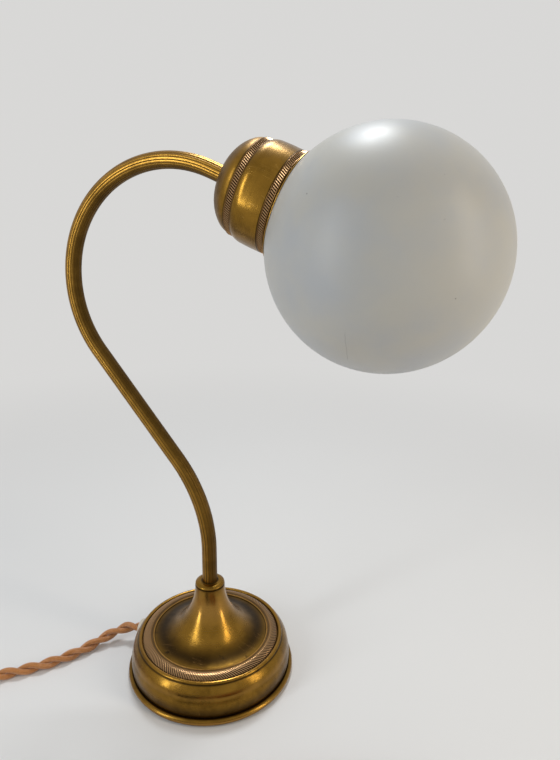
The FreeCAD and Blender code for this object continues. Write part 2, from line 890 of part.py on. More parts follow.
def holder_cap():
    bore = thread_r + slip_fit
    inner = holder_r - holder_cap_t
    side_q = holder_top_q - holder_cap_h / 2
    inwards, along = drift(holder_r - holder_neck_r, holder_cap_h / 2)
    o = Outline(bore, -holder_top_q)
    o.to(holder_neck_r, -holder_top_q)
    o.arc((holder_r - inwards, -(side_q + along)), (holder_r, -side_q))
    o.to(holder_r, -holder_joint_q)
    o.to(inner, -holder_joint_q)
    o.to(inner, -tube_end_q)
    o.to(bore, -tube_end_q)
    return in_gallery(o.spin())


def holder_body():
    bore = holder_shell_r + slip_fit
    side_q = holder_mouth_q + holder_mouth_taper
    inwards, along = drift(holder_mouth_in, holder_mouth_taper)
    o = Outline(0, -holder_joint_q)
    o.to(holder_r, -holder_joint_q)
    o.to(holder_r, -side_q)
    o.arc((holder_r - inwards, -(side_q - along)), (holder_r - holder_mouth_in, -holder_mouth_q))
    o.to(bore, -holder_mouth_q)
    o.to(bore, -(holder_mouth_q + holder_floor))
    o.to(0, -(holder_mouth_q + holder_floor))
    return in_gallery(o.spin())


def holder_shell():
    z1 = -(holder_mouth_q + gap)
    return in_gallery(ring(holder_shell_r, holder_shell_r - holder_shell_t, z1 - holder_shell_h, z1))


def holder_contact():
    z0 = -(holder_mouth_q + holder_floor)
    return in_gallery(cylinder(contact_r, z0, z0 + contact_t))


def bulb_cap():
    z0 = -(bulb_seat_q - bulb_tip_h)
    foot_r = bulb_cap_r - bulb_thread_depth
    foot = Part.makeCone(bulb_tip_r + bulb_tip_rim, foot_r, bulb_foot_h, vec(0, 0, z0))
    return in_gallery(foot.fuse(cylinder(bulb_cap_r, z0 + bulb_foot_h, -bulb_cap_q)))


def bulb_contact():
    return in_gallery(cylinder(bulb_tip_r, -bulb_seat_q, -(bulb_seat_q - bulb_tip_h)))


def bulb_body():
    """White housing that flares from the screw cap to the diffuser."""
    o = Outline(0, -bulb_cap_q)
    o.to(bulb_neck_r, -bulb_cap_q)
    middle_r = (bulb_neck_r + bulb_joint_r) / 2 - bulb_neck_hollow
    o.arc((middle_r, -(bulb_cap_q + bulb_joint_q) / 2), (bulb_joint_r, -bulb_joint_q))
    o.to(0, -bulb_joint_q)
    return in_gallery(o.spin())


def bulb_diffuser():
    """Candle shape, slim enough to pass the glass neck."""
    o = Outline(0, -bulb_joint_q)
    o.to(bulb_joint_r, -bulb_joint_q)
    o.arc((bulb_r, bulb_belly_h - bulb_cap_q), (bulb_taper_r, bulb_taper_h - bulb_cap_q))
    o.arc((bulb_point_r, bulb_point_h - bulb_cap_q), (bulb_nib_r, bulb_length - bulb_cap_q))
    o.to(0, bulb_length - bulb_cap_q)
    return in_gallery(o.spin())


# Free flex: straight runs joined by tangent arcs

def rounded_route(points, fixed=None):
    """Edges along hand-chosen points; each corner gets an arc as large as its runs allow."""
    fixed = fixed or {}
    edges = []
    last = points[0]
    for k in range(1, len(points) - 1):
        before = points[k - 1] - points[k]
        after = points[k + 1] - points[k]
        turn = math.pi - before.getAngle(after)
        shorter = min(before.Length, after.Length)
        radius = fixed.get(k, 0.45 * shorter / math.tan(turn / 2))
        back = radius * math.tan(turn / 2)
        start = points[k] + before.normalize() * back
        stop = points[k] + after.normalize() * back
        inward = (before + after).normalize()
        middle = points[k] + inward * (radius / math.cos(turn / 2) - radius)
        edges.append(line(last, start))
        edges.append(arc(start, middle, stop))
        last = stop
    edges.append(line(last, points[-1]))
    return edges


def route_radii(points):
    radii = []
    for k in range(1, len(points) - 1):
        before = points[k - 1] - points[k]
        after = points[k + 1] - points[k]
        turn = math.pi - before.getAngle(after)
        radii.append(0.45 * min(before.Length, after.Length) / math.tan(turn / 2))
    return radii


def cord_tube(name, points):
    edges = rounded_route(points)
    path = Part.Wire(edges)
    solid = sweep(path, round_wire(points[0], points[1] - points[0], cord_r))
    share = solid.Volume / (math.pi * cord_r ** 2 * path.Length)
    radii = [round(radius) for radius in route_radii(points)]
    print("%s length %.0f mm, volume share %.4f, radii %s" % (name, path.Length, share, radii))
    return solid


def cord_run_base():
    points = [vec(bush_face_x, 0, bush_z)]
    points += [vec(*point) for point in route_to_switch]
    points += [switch_mouth - heading * switch_lead, switch_mouth]
    return cord_tube("cord_run_base", points)


def switch_outlet():
    return switch_mouth + heading * switch_l


def coil_start():
    point = switch_outlet() + heading * run_to_coil
    return vec(point.x, point.y, floor_z)


def cord_run_switch():
    start = switch_outlet()
    stop = coil_start()
    first = start + heading * run_to_coil_bends[0]
    second = start + heading * run_to_coil_bends[1]
    return cord_tube("cord_run_switch", [start, first, vec(second.x, second.y, floor_z), stop])


def coil_radii():
    """Radius of each half turn: inwards, the climbing one, and outwards again."""
    inwards = [coil_outer_r - coil_pitch / 2 * k for k in range(coil_half_turns)]
    climbing = coil_outer_r - coil_pitch / 2 * coil_half_turns
    return inwards + [climbing] + inwards[::-1]


def turned(level, angle):
    """A level vector turned to the left."""
    return FreeCAD.Rotation(Z_AXIS, math.degrees(angle)).multVec(level)


def coil_route():
    """Edges of the coil and the point and direction in which the flex leaves it."""
    here = coil_start()
    ahead = heading
    edges = [line(here, here + ahead * coil_lead)]
    here = here + ahead * coil_lead
    for k, radius in enumerate(coil_radii()):
        climb = coil_climb if k == coil_half_turns else 0.0
        stop = here + Z_AXIS.cross(ahead) * (2 * radius) + Z_AXIS * climb
        crest = (here + stop) * 0.5 + ahead * ((stop - here).Length / 2)
        edges.append(arc(here, crest, stop))
        here = stop
        ahead = -ahead
    centre = here + Z_AXIS.cross(ahead) * (coil_outer_r + coil_pitch / 2)
    crest = centre + turned(here - centre, coil_run_out / 2)
    stop = centre + turned(here - centre, coil_run_out)
    edges.append(arc(here, crest, stop))
    here = stop
    ahead = turned(ahead, coil_run_out)
    stop = here + ahead * coil_lead
    edges.append(line(here, stop))
    return edges, stop, ahead


def self_gap(wire, diameter):
    """Least clearance between turns, on points spaced well under a diameter apart."""
    spacing = diameter / 4
    points = wire.discretize(Distance=spacing)
    skip = round(2 * diameter / spacing)
    least = min((p - q).Length for i, p in enumerate(points) for q in points[i + skip:])
    return least - diameter


def cord_coil():
    edges, stop, ahead = coil_route()
    path = Part.Wire(edges)
    coil = sweep(path, round_wire(coil_start(), heading, cord_r))
    share = coil.Volume / (math.pi * cord_r ** 2 * path.Length)
    numbers = (path.Length, share, self_gap(path, 2 * cord_r))
    print("cord_coil length %.0f mm, volume share %.4f, least gap to itself %.2f mm" % numbers)
    return coil


def plug_mouth():
    """Where the flex meets the plug, and its direction there."""
    edges, stop, ahead = coil_route()
    point = stop + ahead * run_to_plug
    return vec(point.x, point.y, plug_h / 2), ahead


def cord_run_plug():
    edges, start, ahead = coil_route()
    heights = (start.z, (start.z + plug_h) / 2 - cord_r / 2, plug_h / 2)
    points = [start]
    for reach, height in zip(run_to_plug_bends, heights):
        point = start + ahead * reach
        points.append(vec(point.x, point.y, height))
    points.append(plug_mouth()[0])
    return cord_tube("cord_run_plug", points)


# Switch and plug, drawn along X from the face where the flex goes in

def in_switch(shape):
    place = FreeCAD.Placement(vec(switch_mouth.x, switch_mouth.y, 0), FreeCAD.Rotation(X_AXIS, heading))
    shape.Placement = place.multiply(shape.Placement)
    return shape


def in_plug(shape):
    mouth, ahead = plug_mouth()
    place = FreeCAD.Placement(vec(mouth.x, mouth.y, 0), FreeCAD.Rotation(X_AXIS, ahead))
    shape.Placement = place.multiply(shape.Placement)
    return shape


def switch_plan(z):
    """Seen from above: flat narrow ends and two bulging sides."""
    end = switch_waist / 2
    side = switch_w / 2
    half = switch_l / 2
    edges = [line(vec(0, end, z), vec(0, -end, z))]
    edges.append(arc(vec(0, -end, z), vec(half, -side, z), vec(switch_l, -end, z)))
    edges.append(line(vec(switch_l, -end, z), vec(switch_l, end, z)))
    edges.append(arc(vec(switch_l, end, z), vec(half, side, z), vec(0, end, z)))
    return Part.Face(Part.Wire(edges))


def switch_screw_places():
    return [vec(switch_l / 2 + side * switch_screw_x, 0, switch_screw_sink) for side in (-1, 1)]


def switch_screw(place):
    return countersunk(switch_screw_head_r, switch_screw_r, switch_screw_head_h, switch_screw_l, place)


def switch_base():
    half = switch_plan(0).extrude(vec(0, 0, switch_low_h))
    half = half.makeFillet(switch_edge, edges_at(half, 0))
    for place in switch_screw_places():
        well = Part.makeCylinder(switch_screw_head_r, place.z, vec(place.x, place.y, 0))
        half = half.cut(well.fuse(switch_screw(place)))
    return in_switch(half)


def switch_screws():
    return in_switch(Part.makeCompound([switch_screw(place) for place in switch_screw_places()]))


def rocker_pin_z():
    return switch_low_h + switch_high_h - rocker_pin_drop


def switch_cover():
    top = switch_low_h + switch_high_h
    half = switch_plan(switch_low_h).extrude(vec(0, 0, switch_high_h))
    half = half.makeFillet(switch_edge, edges_at(half, top))
    length = rocker_l + 2 * rocker_room
    width = rocker_w + 2 * gap
    floor = switch_low_h + pocket_floor
    corner = vec(switch_l / 2 - length / 2, -width / 2, floor)
    half = half.cut(Part.makeBox(length, width, top - floor, corner))
    for place in switch_screw_places():
        half = half.cut(switch_screw(place))
    return in_switch(half.cut(pin_bar(rocker_pin_r)))


def pin_bar(radius):
    reach = rocker_w / 2 + gap + rocker_pin_seat
    return Part.makeCylinder(radius, 2 * reach, vec(switch_l / 2, -reach, rocker_pin_z()), Y_AXIS)


def switch_pin():
    return in_switch(pin_bar(rocker_pin_r))


def switch_rocker():
    """A dished key over a round keel, resting with its far end down."""
    pin_z = rocker_pin_z()
    half = rocker_l / 2
    mid = switch_l / 2
    end_z = switch_low_h + switch_high_h + rocker_end_rise
    dip_z = switch_low_h + switch_high_h + rocker_dip_rise
    y = -rocker_w / 2
    low_z = pin_z - rocker_pin_r
    edges = [line(vec(mid - half, y, low_z), vec(mid - half, y, end_z))]
    edges.append(arc(vec(mid - half, y, end_z), vec(mid, y, dip_z), vec(mid + half, y, end_z)))
    edges.append(line(vec(mid + half, y, end_z), vec(mid + half, y, low_z)))
    edges.append(arc(vec(mid + half, y, low_z), vec(mid, y, pin_z - rocker_keel), vec(mid - half, y, low_z)))
    key = Part.Face(Part.Wire(edges)).extrude(vec(0, rocker_w, 0))
    key = key.cut(pin_bar(rocker_pin_r + slip_fit))
    key.rotate(vec(mid, 0, pin_z), Y_AXIS, rocker_throw)
    return in_switch(key)


def plug_plan():
    """Seen from above: a narrow tail that flares in an arc to the width of the pins."""
    tail = plug_tail_w / 2
    side = plug_w / 2
    flare = plug_l - plug_shoulder
    outwards, along = drift(side - tail, flare)
    knee = vec(along, tail + outwards, 0)
    edges = [line(vec(0, tail, 0), vec(0, -tail, 0))]
    edges.append(arc(vec(0, -tail, 0), vec(knee.x, -knee.y, 0), vec(flare, -side, 0)))
    edges.append(line(vec(flare, -side, 0), vec(plug_l, -side, 0)))
    edges.append(line(vec(plug_l, -side, 0), vec(plug_l, side, 0)))
    edges.append(line(vec(plug_l, side, 0), vec(flare, side, 0)))
    edges.append(arc(vec(flare, side, 0), knee, vec(0, tail, 0)))
    return Part.Face(Part.Wire(edges))


def plug_pin(side):
    root = vec(plug_l - plug_pin_root, side * plug_pin_pitch / 2, plug_h / 2)
    pin = Part.makeCylinder(plug_pin_r, plug_pin_root + plug_pin_l, root, X_AXIS)
    tip = [e for e in pin.Edges if e.BoundBox.XMin > plug_l + plug_pin_l - slip_fit]
    return pin.makeFillet(plug_pin_edge, tip)


def plug_body():
    body = plug_plan().extrude(vec(0, 0, plug_h))
    body = body.makeFillet(plug_edge, edges_at(body, 0) + edges_at(body, plug_h))
    for side in (-1, 1):
        body = body.cut(plug_pin(side))
    return in_plug(body)


def plug_pins():
    return in_plug(Part.makeCompound([plug_pin(-1), plug_pin(1)]))


def main():
    os.makedirs("parts", exist_ok=True)
    pieces = [base_felt, base_plate, plate_screws, base_weight, base_shell, milled_base_ring, neck_collar,
              tail_washer, tail_nut, cord_clamp, clamp_screws, cord_bush, swan_neck, inner_flex,
              gallery_cap, gallery_washer, gallery_nut, gallery_drum, gallery_lip, globe_spring,
              holder_cap, holder_body, holder_shell, holder_contact,
              bulb_cap, bulb_contact, bulb_body, bulb_diffuser, globe,
              cord_run_base, switch_base, switch_cover, switch_rocker, switch_pin, switch_screws,
              cord_run_switch, cord_coil, cord_run_plug, plug_body, plug_pins]
    for piece in pieces:
        save(piece.__name__, piece())
    save("rear_milled_ring", milled_gallery_ring(dome_q))
    save("front_milled_ring", milled_gallery_ring(belly_q))


main()
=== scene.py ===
"""Glass globe table lamp: opal globe, milled brass gallery, reeded swan neck, spun base and twisted flex.

All sizes in the classes are millimetres in the row frame; meshes are made in metres.
"""
import logging
import math
from collections.abc import Iterable, Mapping, Sequence
from dataclasses import dataclass
from enum import Enum
from itertools import accumulate

import bpy
from mathutils import Matrix, Vector
from mathutils.kdtree import KDTree


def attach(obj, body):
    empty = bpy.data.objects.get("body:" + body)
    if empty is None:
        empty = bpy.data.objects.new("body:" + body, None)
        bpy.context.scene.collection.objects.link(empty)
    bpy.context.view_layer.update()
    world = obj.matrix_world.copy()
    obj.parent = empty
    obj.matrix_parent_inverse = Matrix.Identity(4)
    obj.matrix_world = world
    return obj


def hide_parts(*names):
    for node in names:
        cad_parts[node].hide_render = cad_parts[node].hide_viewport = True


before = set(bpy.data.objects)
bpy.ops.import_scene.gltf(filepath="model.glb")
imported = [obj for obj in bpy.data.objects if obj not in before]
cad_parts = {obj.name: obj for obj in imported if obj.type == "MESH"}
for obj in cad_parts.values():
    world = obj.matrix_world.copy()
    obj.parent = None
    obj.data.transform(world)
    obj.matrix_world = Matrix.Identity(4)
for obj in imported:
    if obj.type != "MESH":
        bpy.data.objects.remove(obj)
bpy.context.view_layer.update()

LOG = logging.getLogger("lamp")
MM = 0.001
SAME_POINT = 1e-6
Colour = tuple[float, float, float]
Place = tuple[float, float, float]
Point = tuple[float, float]
Ring = tuple[float, float, float, float]

GLOBE_CENTRE: Place = (106.046, 0.0, 294.2295)
GALLERY_TILT = math.radians(21.7)
TUBE_R = 5.0


class Signal:
    """A socket of a node tree that can be used in an arithmetic expression."""

    def __init__(self, bench: "ShaderBench", socket: bpy.types.NodeSocket) -> None:
        """Keeps the socket and the tree it belongs to."""
        self.bench = bench
        self.socket = socket

    def maths(self, operation: str, *others: "Signal | float", clamp: bool = False) -> "Signal":
        """The result of one Math node, on this value and up to two others."""
        sockets = dict(enumerate((self, *others)))
        return self.bench.node("ShaderNodeMath", {"operation": operation, "use_clamp": clamp}, sockets)

    def __add__(self, other: "Signal | float") -> "Signal":
        """Sum."""
        return self.maths("ADD", other)

    __radd__ = __add__

    def __mul__(self, other: "Signal | float") -> "Signal":
        """Product."""
        return self.maths("MULTIPLY", other)

    __rmul__ = __mul__

    def __sub__(self, other: "Signal | float") -> "Signal":
        """Difference."""
        return self.maths("SUBTRACT", other)

    def __rsub__(self, other: float) -> "Signal":
        """Difference from a number."""
        return self.maths("MULTIPLY_ADD", -1.0, other)

    def __truediv__(self, other: "Signal | float") -> "Signal":
        """Quotient."""
        return self.maths("DIVIDE", other)

    def __pow__(self, other: "Signal | float") -> "Signal":
        """Power."""
        return self.maths("POWER", other)

    def __abs__(self) -> "Signal":
        """Size without sign."""
        return self.maths("ABSOLUTE")

    def sine(self) -> "Signal":
        """Sine of an angle in radians."""
        return self.maths("SINE")

    def cosine(self) -> "Signal":
        """Cosine of an angle in radians."""
        return self.maths("COSINE")

    def most(self, other: "Signal | float") -> "Signal":
        """The larger of two values."""
        return self.maths("MAXIMUM", other)

    def clamped(self) -> "Signal":
        """The value kept between 0 and 1."""
        return self.maths("ADD", 0.0, clamp=True)

    def step(self, low: float, high: float) -> "Signal":
        """A soft step.

        Args:
            low: where the result is 0.
            high: where the result is 1; it may be the lower number.

        Returns:
            A value between 0 and 1.
        """
        settings = {"interpolation_type": "SMOOTHSTEP", "clamp": True}
        sockets = {"Value": self, "From Min": low, "From Max": high, "To Min": 0.0, "To Max": 1.0}
        return self.bench.node("ShaderNodeMapRange", settings, sockets)


class ShaderBench:
    """Builds the node tree of one material or world."""

    def __init__(self, owner: bpy.types.Material | bpy.types.World) -> None:
        """Empties the tree of a material or world."""
        self.owner = owner
        owner.use_nodes = True
        self.tree = owner.node_tree
        self.tree.nodes.clear()

    def node(self, kind: str, settings: Mapping[str, object], sockets: Mapping[str | int, object],
             output: str | int = 0) -> Signal:
        """Adds one node.

        Args:
            kind: Blender's type of node.
            settings: its properties, set before the sockets.
            sockets: values or signals of its inputs, by name or place.
            output: the output that is wanted.

        Returns:
            That output, or the first input of a node that has none.
        """
        made = self.tree.nodes.new(kind)
        for key, value in settings.items():
            setattr(made, key, value)
        for key, value in sockets.items():
            if isinstance(value, Signal):
                self.tree.links.new(value.socket, made.inputs[key])
            else:
                made.inputs[key].default_value = value
        return Signal(self, made.outputs[output] if made.outputs else made.inputs[0])

    def coordinates(self, kind: str = "Object") -> Signal:
        """Coordinates of the object, or those of its own UV map."""
        return self.node("ShaderNodeTexCoord", {}, {}, kind)

    def measure(self, operation: str, *vectors: object) -> Signal:
        """A number from one or two vectors, such as a length or a distance."""
        return self.node("ShaderNodeVectorMath", {"operation": operation}, dict(enumerate(vectors)), "Value")

    def split(self, vector: Signal) -> tuple[Signal, Signal, Signal]:
        """The three parts of a vector."""
        first = self.node("ShaderNodeSeparateXYZ", {}, {0: vector}, "X")
        made = first.socket.node
        return first, Signal(self, made.outputs["Y"]), Signal(self, made.outputs["Z"])

    def vector(self, x: Signal | float, y: Signal | float, z: Signal | float) -> Signal:
        """A vector from its three parts."""
        return self.node("ShaderNodeCombineXYZ", {}, {"X": x, "Y": y, "Z": z})

    def noise(self, place: Signal, scale: float, detail: float = 3.0, roughness: float = 0.5) -> Signal:
        """Smooth noise.

        Args:
            place: the coordinates.
            scale: waves per metre.
            detail: octaves.
            roughness: share of the finer octaves.

        Returns:
            Values round 0.5.
        """
        sockets = {"Vector": place, "Scale": scale, "Detail": detail, "Roughness": roughness}
        return self.node("ShaderNodeTexNoise", {"noise_dimensions": "3D"}, sockets)

    def blend(self, share: Signal | float, first: Signal | Colour, second: Signal | Colour) -> Signal:
        """A colour between two colours.

        Args:
            share: 0 for the first and 1 for the second.
            first: a colour or a signal.
            second: a colour or a signal.

        Returns:
            The mixed colour.
        """
        sockets: dict[str | int, object] = {0: share}
        for key, value in ((6, first), (7, second)):
            sockets[key] = value if isinstance(value, Signal) else (*value, 1.0)
        return self.node("ShaderNodeMix", {"data_type": "RGBA"}, sockets, 2)

    def bump(self, height: Signal, distance: float, strength: float = 1.0,
             under: Signal | None = None) -> Signal:
        """A surface relief.

        Args:
            height: relief between 0 and 1.
            distance: metres between 0 and 1.
            strength: share of the effect.
            under: the relief that this one lies on.

        Returns:
            The bent normal.
        """
        sockets: dict[str | int, object] = {"Height": height, "Distance": distance, "Strength": strength}
        if under is not None:
            sockets["Normal"] = under
        return self.node("ShaderNodeBump", {}, sockets)

    def finish(self, **sockets: object) -> bpy.types.Material:
        """Closes the tree with the surface shader.

        Args:
            sockets: inputs of the shader, with underscores for spaces.

        Returns:
            The material.
        """
        named = {key.replace("_", " "): value for key, value in sockets.items()}
        surface = self.node("ShaderNodeBsdfPrincipled", {}, named)
        self.node("ShaderNodeOutputMaterial", {}, {"Surface": surface})
        return self.owner

    def seen_directly(self) -> Signal:
        """1 for rays of the camera and for those that metal or glass sends out, and 0 for light."""
        kinds = ("Is Camera Ray", "Is Glossy Ray", "Is Transmission Ray")
        seen, mirrored, passed = (self.node("ShaderNodeLightPath", {}, {}, kind) for kind in kinds)
        return seen.most(mirrored).most(passed)


class Grain(Enum):
    """The way in which a metal surface was worked."""

    TURNED = "rings round the axis"
    DRAWN = "lines along the tube"


@dataclass(frozen=True)
class Seat:
    """The axis that a finish is turned about: a point on it and its tilt about +Y."""

    x: float = 0.0
    z: float = 0.0
    tilt: float = 0.0

    def local(self, bench: ShaderBench) -> Signal:
        """Object coordinates in metres seen from the seat, its axis as Z."""
        sockets = {"Vector": bench.coordinates(), "Location": (self.x * MM, 0.0, self.z * MM),
                   "Rotation": (0.0, self.tilt, 0.0)}
        return bench.node("ShaderNodeMapping", {"vector_type": "TEXTURE"}, sockets)


class Run(Enum):
    """The way in which milled teeth run over a ring."""

    INWARDS = "from the rim towards the axis"
    ALONG = "along the axis"


@dataclass(frozen=True)
class Milling:
    """Where the teeth of a milled band lie, so that dirt and painted shade darken the grooves between them and
    wear and painted highlights brighten their crests.
    """

    teeth: int
    slant: float
    run: Run
    start: float
    length: float

    def marks(self, x: Signal, y: Signal, radius: Signal, z: Signal) -> tuple[Signal, Signal]:
        """The grooves between the teeth and the crests of the teeth.

        Args:
            x: coordinate across the axis.
            y: the other one.
            radius: distance from the axis.
            z: place along the axis.

        Returns:
            Two masks, both 0 off the band.
        """
        begin = self.start * MM
        way = begin - radius if self.run is Run.INWARDS else z - begin
        share = way / (self.length * MM)
        phase = y.maths("ARCTAN2", x) * float(self.teeth) - share * (math.tau * self.slant)
        window = share.step(-0.06, 0.04) * share.step(1.06, 0.96)
        wave = phase.cosine()
        return wave.step(-0.3, 0.6) * window, wave.step(-0.2, -0.9) * window


@dataclass(frozen=True)
class AgedBrass:
    """Satin brass that has darkened with age, with bright wear and painted highlights, and dark creases of dirt
    and painted shade.
    """

    name: str
    bright: Colour = (0.27, 0.142, 0.021)
    dull: Colour = (0.085, 0.043, 0.0065)
    dirt_and_shade_colour: Colour = (0.016, 0.009, 0.0035)
    wear: Colour = (0.60, 0.36, 0.10)
    roughness: float = 0.21
    grain: Grain = Grain.TURNED
    seat: Seat = Seat()
    creases: tuple[Ring, ...] = ()
    polished: tuple[Ring, ...] = ()
    milling: Milling | None = None
    reeds: int = 0
    cloud_scale: float = 42.0
    blotch_scale: float = 150.0
    speckle_scale: float = 1400.0
    turned_scale: float = 2600.0
    drawn_scale: float = 2200.0
    line_depth: float = 0.03
    blotch_depth: float = 0.08
    scratch_depth: float = 0.02
    scratch_turns: tuple[tuple[Place, float], ...] = (((0.4, 0.9, 0.2), 26.0), ((1.3, 0.2, 2.1), 34.0))
    groove_dirt_and_shade: float = 0.96
    valley_dirt_and_shade: float = 0.7
    side_painted_shade: float = 0.72
    crest_wear_and_highlight: float = 0.85
    patina: float = 0.5
    mottling: float = 1.0
    scratches: float = 0.3

    def material(self) -> bpy.types.Material:
        """Builds the material.

        Returns:
            The finished material.
        """
        bench = ShaderBench(bpy.data.materials.new(self.name))
        place = self.seat.local(bench)
        x, y, z = bench.split(place)
        radius = (x * x + y * y) ** 0.5
        cloud = bench.noise(place, self.cloud_scale, 4.0, 0.6)
        blotch = bench.noise(place, self.blotch_scale, 5.0, 0.62)
        fine = bench.noise(place, self.speckle_scale, 2.0, 0.5)
        lines = self.lines(bench, radius, z)
        age = (cloud * 0.62 + blotch * 0.38).step(0.36, 0.68)
        # Dark rings: dirt and painted shade in the creases, and painted shade over the wide hollows.
        crease = self.ring_mask(radius, z, self.creases)
        crests = radius * 0.0
        if self.milling is not None:
            # Dirt and painted shade in the grooves, and wear and painted highlights on the crests.
            grooves, crests = self.milling.marks(x, y, radius, z)
            crease = crease.most(grooves * self.groove_dirt_and_shade)
        if self.reeds:
            # Dirt and painted shade in the reeds' valleys, and painted shade along one side of the tube.
            valley, painted_shade_side = self.reed_dirt_and_shade(bench)
            crease = crease.most(valley * self.valley_dirt_and_shade).most(painted_shade_side * self.side_painted_shade)
        # Bright rings and crests: wear and painted highlights.
        polish = self.ring_mask(radius, z, self.polished).most(crests * self.crest_wear_and_highlight)
        scratch = self.scratch_mask(bench, place)
        speckle = (fine - 0.5) * (0.2 * self.mottling)
        dulled = (age * self.patina + (lines - 0.5) * 0.3 + speckle - polish * 0.8).clamped()
        colour = bench.blend(dulled, self.bright, self.dull)
        spots = blotch.step(0.62, 0.74) * age * (0.55 * self.mottling)
        # Darkened towards the dirt and shade colour by dirt and painted shade in the rings, grooves and valleys,
        # and by random age spots.
        colour = bench.blend((crease + spots * self.patina - polish).clamped(), colour, self.dirt_and_shade_colour)
        # Brightened towards the wear colour by wear and painted highlights.
        colour = bench.blend(polish * 0.6, colour, self.wear)
        colour = bench.blend(scratch * self.scratches, colour, self.wear)
        rough = dulled * 0.16 + crease * 0.2 - polish * 0.06 + speckle * 0.4
        rough = rough + (lines - 0.5) * 0.1 + self.roughness
        relief = bench.bump(lines, self.line_depth * MM, 0.7)
        relief = bench.bump(blotch * 0.6 + cloud * 0.4, self.blotch_depth * MM * self.mottling, 0.35, relief)
        relief = bench.bump(1.0 - scratch, self.scratch_depth * MM, 0.5, relief)
        return bench.finish(Base_Color=colour, Metallic=1.0, Roughness=rough.clamped(), Normal=relief)

    def lines(self, bench: ShaderBench, radius: Signal, z: Signal) -> Signal:
        """The tool's fine lines.

        Args:
            bench: the material that is built.
            radius: distance from the axis.
            z: place along the axis.

        Returns:
            Values round 0.5.
        """
        if self.grain is Grain.TURNED:
            return bench.noise(bench.vector(radius, 0.37, z), self.turned_scale, 3.0, 0.65)
        u, v, _ = bench.split(bench.coordinates("UV"))
        return bench.noise(bench.vector(u * 0.03, v * 0.004, 0.0), self.drawn_scale, 3.0, 0.6)

    def reed_dirt_and_shade(self, bench: ShaderBench) -> tuple[Signal, Signal]:
        """The valleys between the reeds, dark with dirt and painted shade, and painted shade along the inner side
        of the bends.
        """
        turn = bench.split(bench.coordinates("UV"))[0] * math.tau
        return (turn * float(self.reeds)).cosine().step(0.0, 0.95), turn.cosine().step(0.1, -0.85)

    @staticmethod
    def ring_mask(radius: Signal, z: Signal, rings: Iterable[Ring]) -> Signal:
        """Soft rings round the axis, dark with dirt and painted shade, or bright with wear and painted highlights.

        Args:
            radius: distance from the axis.
            z: place along the axis.
            rings: radius, place along the axis, width and strength of each ring, in millimetres.

        Returns:
            0 on the open surface, and up to the strength in a ring.
        """
        mask = radius * 0.0
        for ring_r, ring_z, width, strength in rings:
            away = ((radius - ring_r * MM) ** 2.0 + (z - ring_z * MM) ** 2.0) ** 0.5
            mask = mask.most(away.step(width * MM, 0.0) * strength)
        return mask

    def scratch_mask(self, bench: ShaderBench, place: Signal) -> Signal:
        """Thin bright scratches in several directions.

        Args:
            bench: the material that is built.
            place: coordinates about the seat.

        Returns:
            1 on a scratch.
        """
        total = None
        for turn, stretch in self.scratch_turns:
            sockets = {"Vector": place, "Rotation": turn, "Scale": (1.0, stretch, 1.0)}
            turned = bench.node("ShaderNodeMapping", {"vector_type": "POINT"}, sockets)
            thread = abs(bench.noise(turned, 30.0, 1.0, 0.4) - 0.5).step(0.005, 0.0)
            total = thread if total is None else total + thread
        return (total * bench.noise(place, 110.0, 2.0, 0.5).step(0.5, 0.62)).clamped()


@dataclass(frozen=True)
class OpalGlass:
    """Dense white glass with a silky skin and a few small marks of use."""

    name: str = "opal_glass"
    body: Colour = (0.50, 0.482, 0.43)
    cool: Colour = (0.44, 0.45, 0.455)
    darkening: Colour = (0.16, 0.15, 0.14)
    roughness: float = 0.44
    cloud_scale: float = 11.0
    mist_scale: float = 55.0
    skin_scale: float = 900.0
    pinhole_scale: float = 420.0
    skin_depth: float = 0.03
    milkiness: float = 4.0
    specks: tuple[tuple[Place, float], ...] = (
        ((78.06, -49.4, 322.67), 0.55), ((146.73, -46.64, 280.03), 0.5),
        ((62.4, -35.8, 279.6), 0.35), ((133.0, -38.2, 251.1), 0.3),
    )
    hairline: tuple[Place, Place] = ((100.09, -55.16, 263.34), (98.06, -38.14, 244.09))
    hairline_width: Point = (0.22, 0.06)

    def material(self) -> bpy.types.Material:
        """Builds the material.

        Returns:
            The finished material.
        """
        bench = ShaderBench(bpy.data.materials.new(self.name))
        place = bench.coordinates()
        cloud = bench.noise(place, self.cloud_scale, 2.0)
        mist = bench.noise(place, self.mist_scale, 4.0, 0.55)
        skin = bench.noise(place, self.skin_scale, 2.0)
        colour = bench.blend((cloud * 0.7 + mist * 0.3).step(0.35, 0.65), self.body, self.cool)
        dots = mist * 0.0
        for spot, size in self.specks:
            away = bench.measure("DISTANCE", place, Vector(spot) * MM)
            dots = dots.most(away.step(size * MM, size * 0.4 * MM))
        dots = dots.most(self.hair(bench, place, mist) * 0.55)
        dots = dots.most(bench.noise(place, self.pinhole_scale, 1.0).step(0.80, 0.84) * 0.25)
        colour = bench.blend(dots * 0.7, colour, self.darkening)
        rough = (mist - 0.5) * 0.12 + dots * 0.2 + self.roughness
        relief = bench.bump(skin * 0.5 + mist * 0.5, self.skin_depth * MM, 0.4)
        return bench.finish(Base_Color=colour, Roughness=rough, Normal=relief, IOR=1.5, Subsurface_Weight=0.25,
                            Subsurface_Radius=(self.milkiness * MM,) * 3, Subsurface_Scale=1.0)

    def hair(self, bench: ShaderBench, place: Signal, mist: Signal) -> Signal:
        """The fine hairline in the glass, along the great circle through its two ends.

        Args:
            bench: the material that is built.
            place: object coordinates.
            mist: noise that makes the line waver.

        Returns:
            1 on the line.
        """
        first, last, middle = (Vector(point) * MM for point in (*self.hairline, GLOBE_CENTRE))
        across = (first - middle).cross(last - middle).normalized()
        waver = (mist - 0.5) * 0.003
        outer, inner = (width * MM for width in self.hairline_width)
        off = abs(bench.measure("DOT_PRODUCT", place, across) - across.dot(middle) + waver).step(outer, inner)
        reach = (last - first).length / 2
        return off * bench.measure("DISTANCE", place, (first + last) / 2).step(reach * 1.05, reach * 0.7)


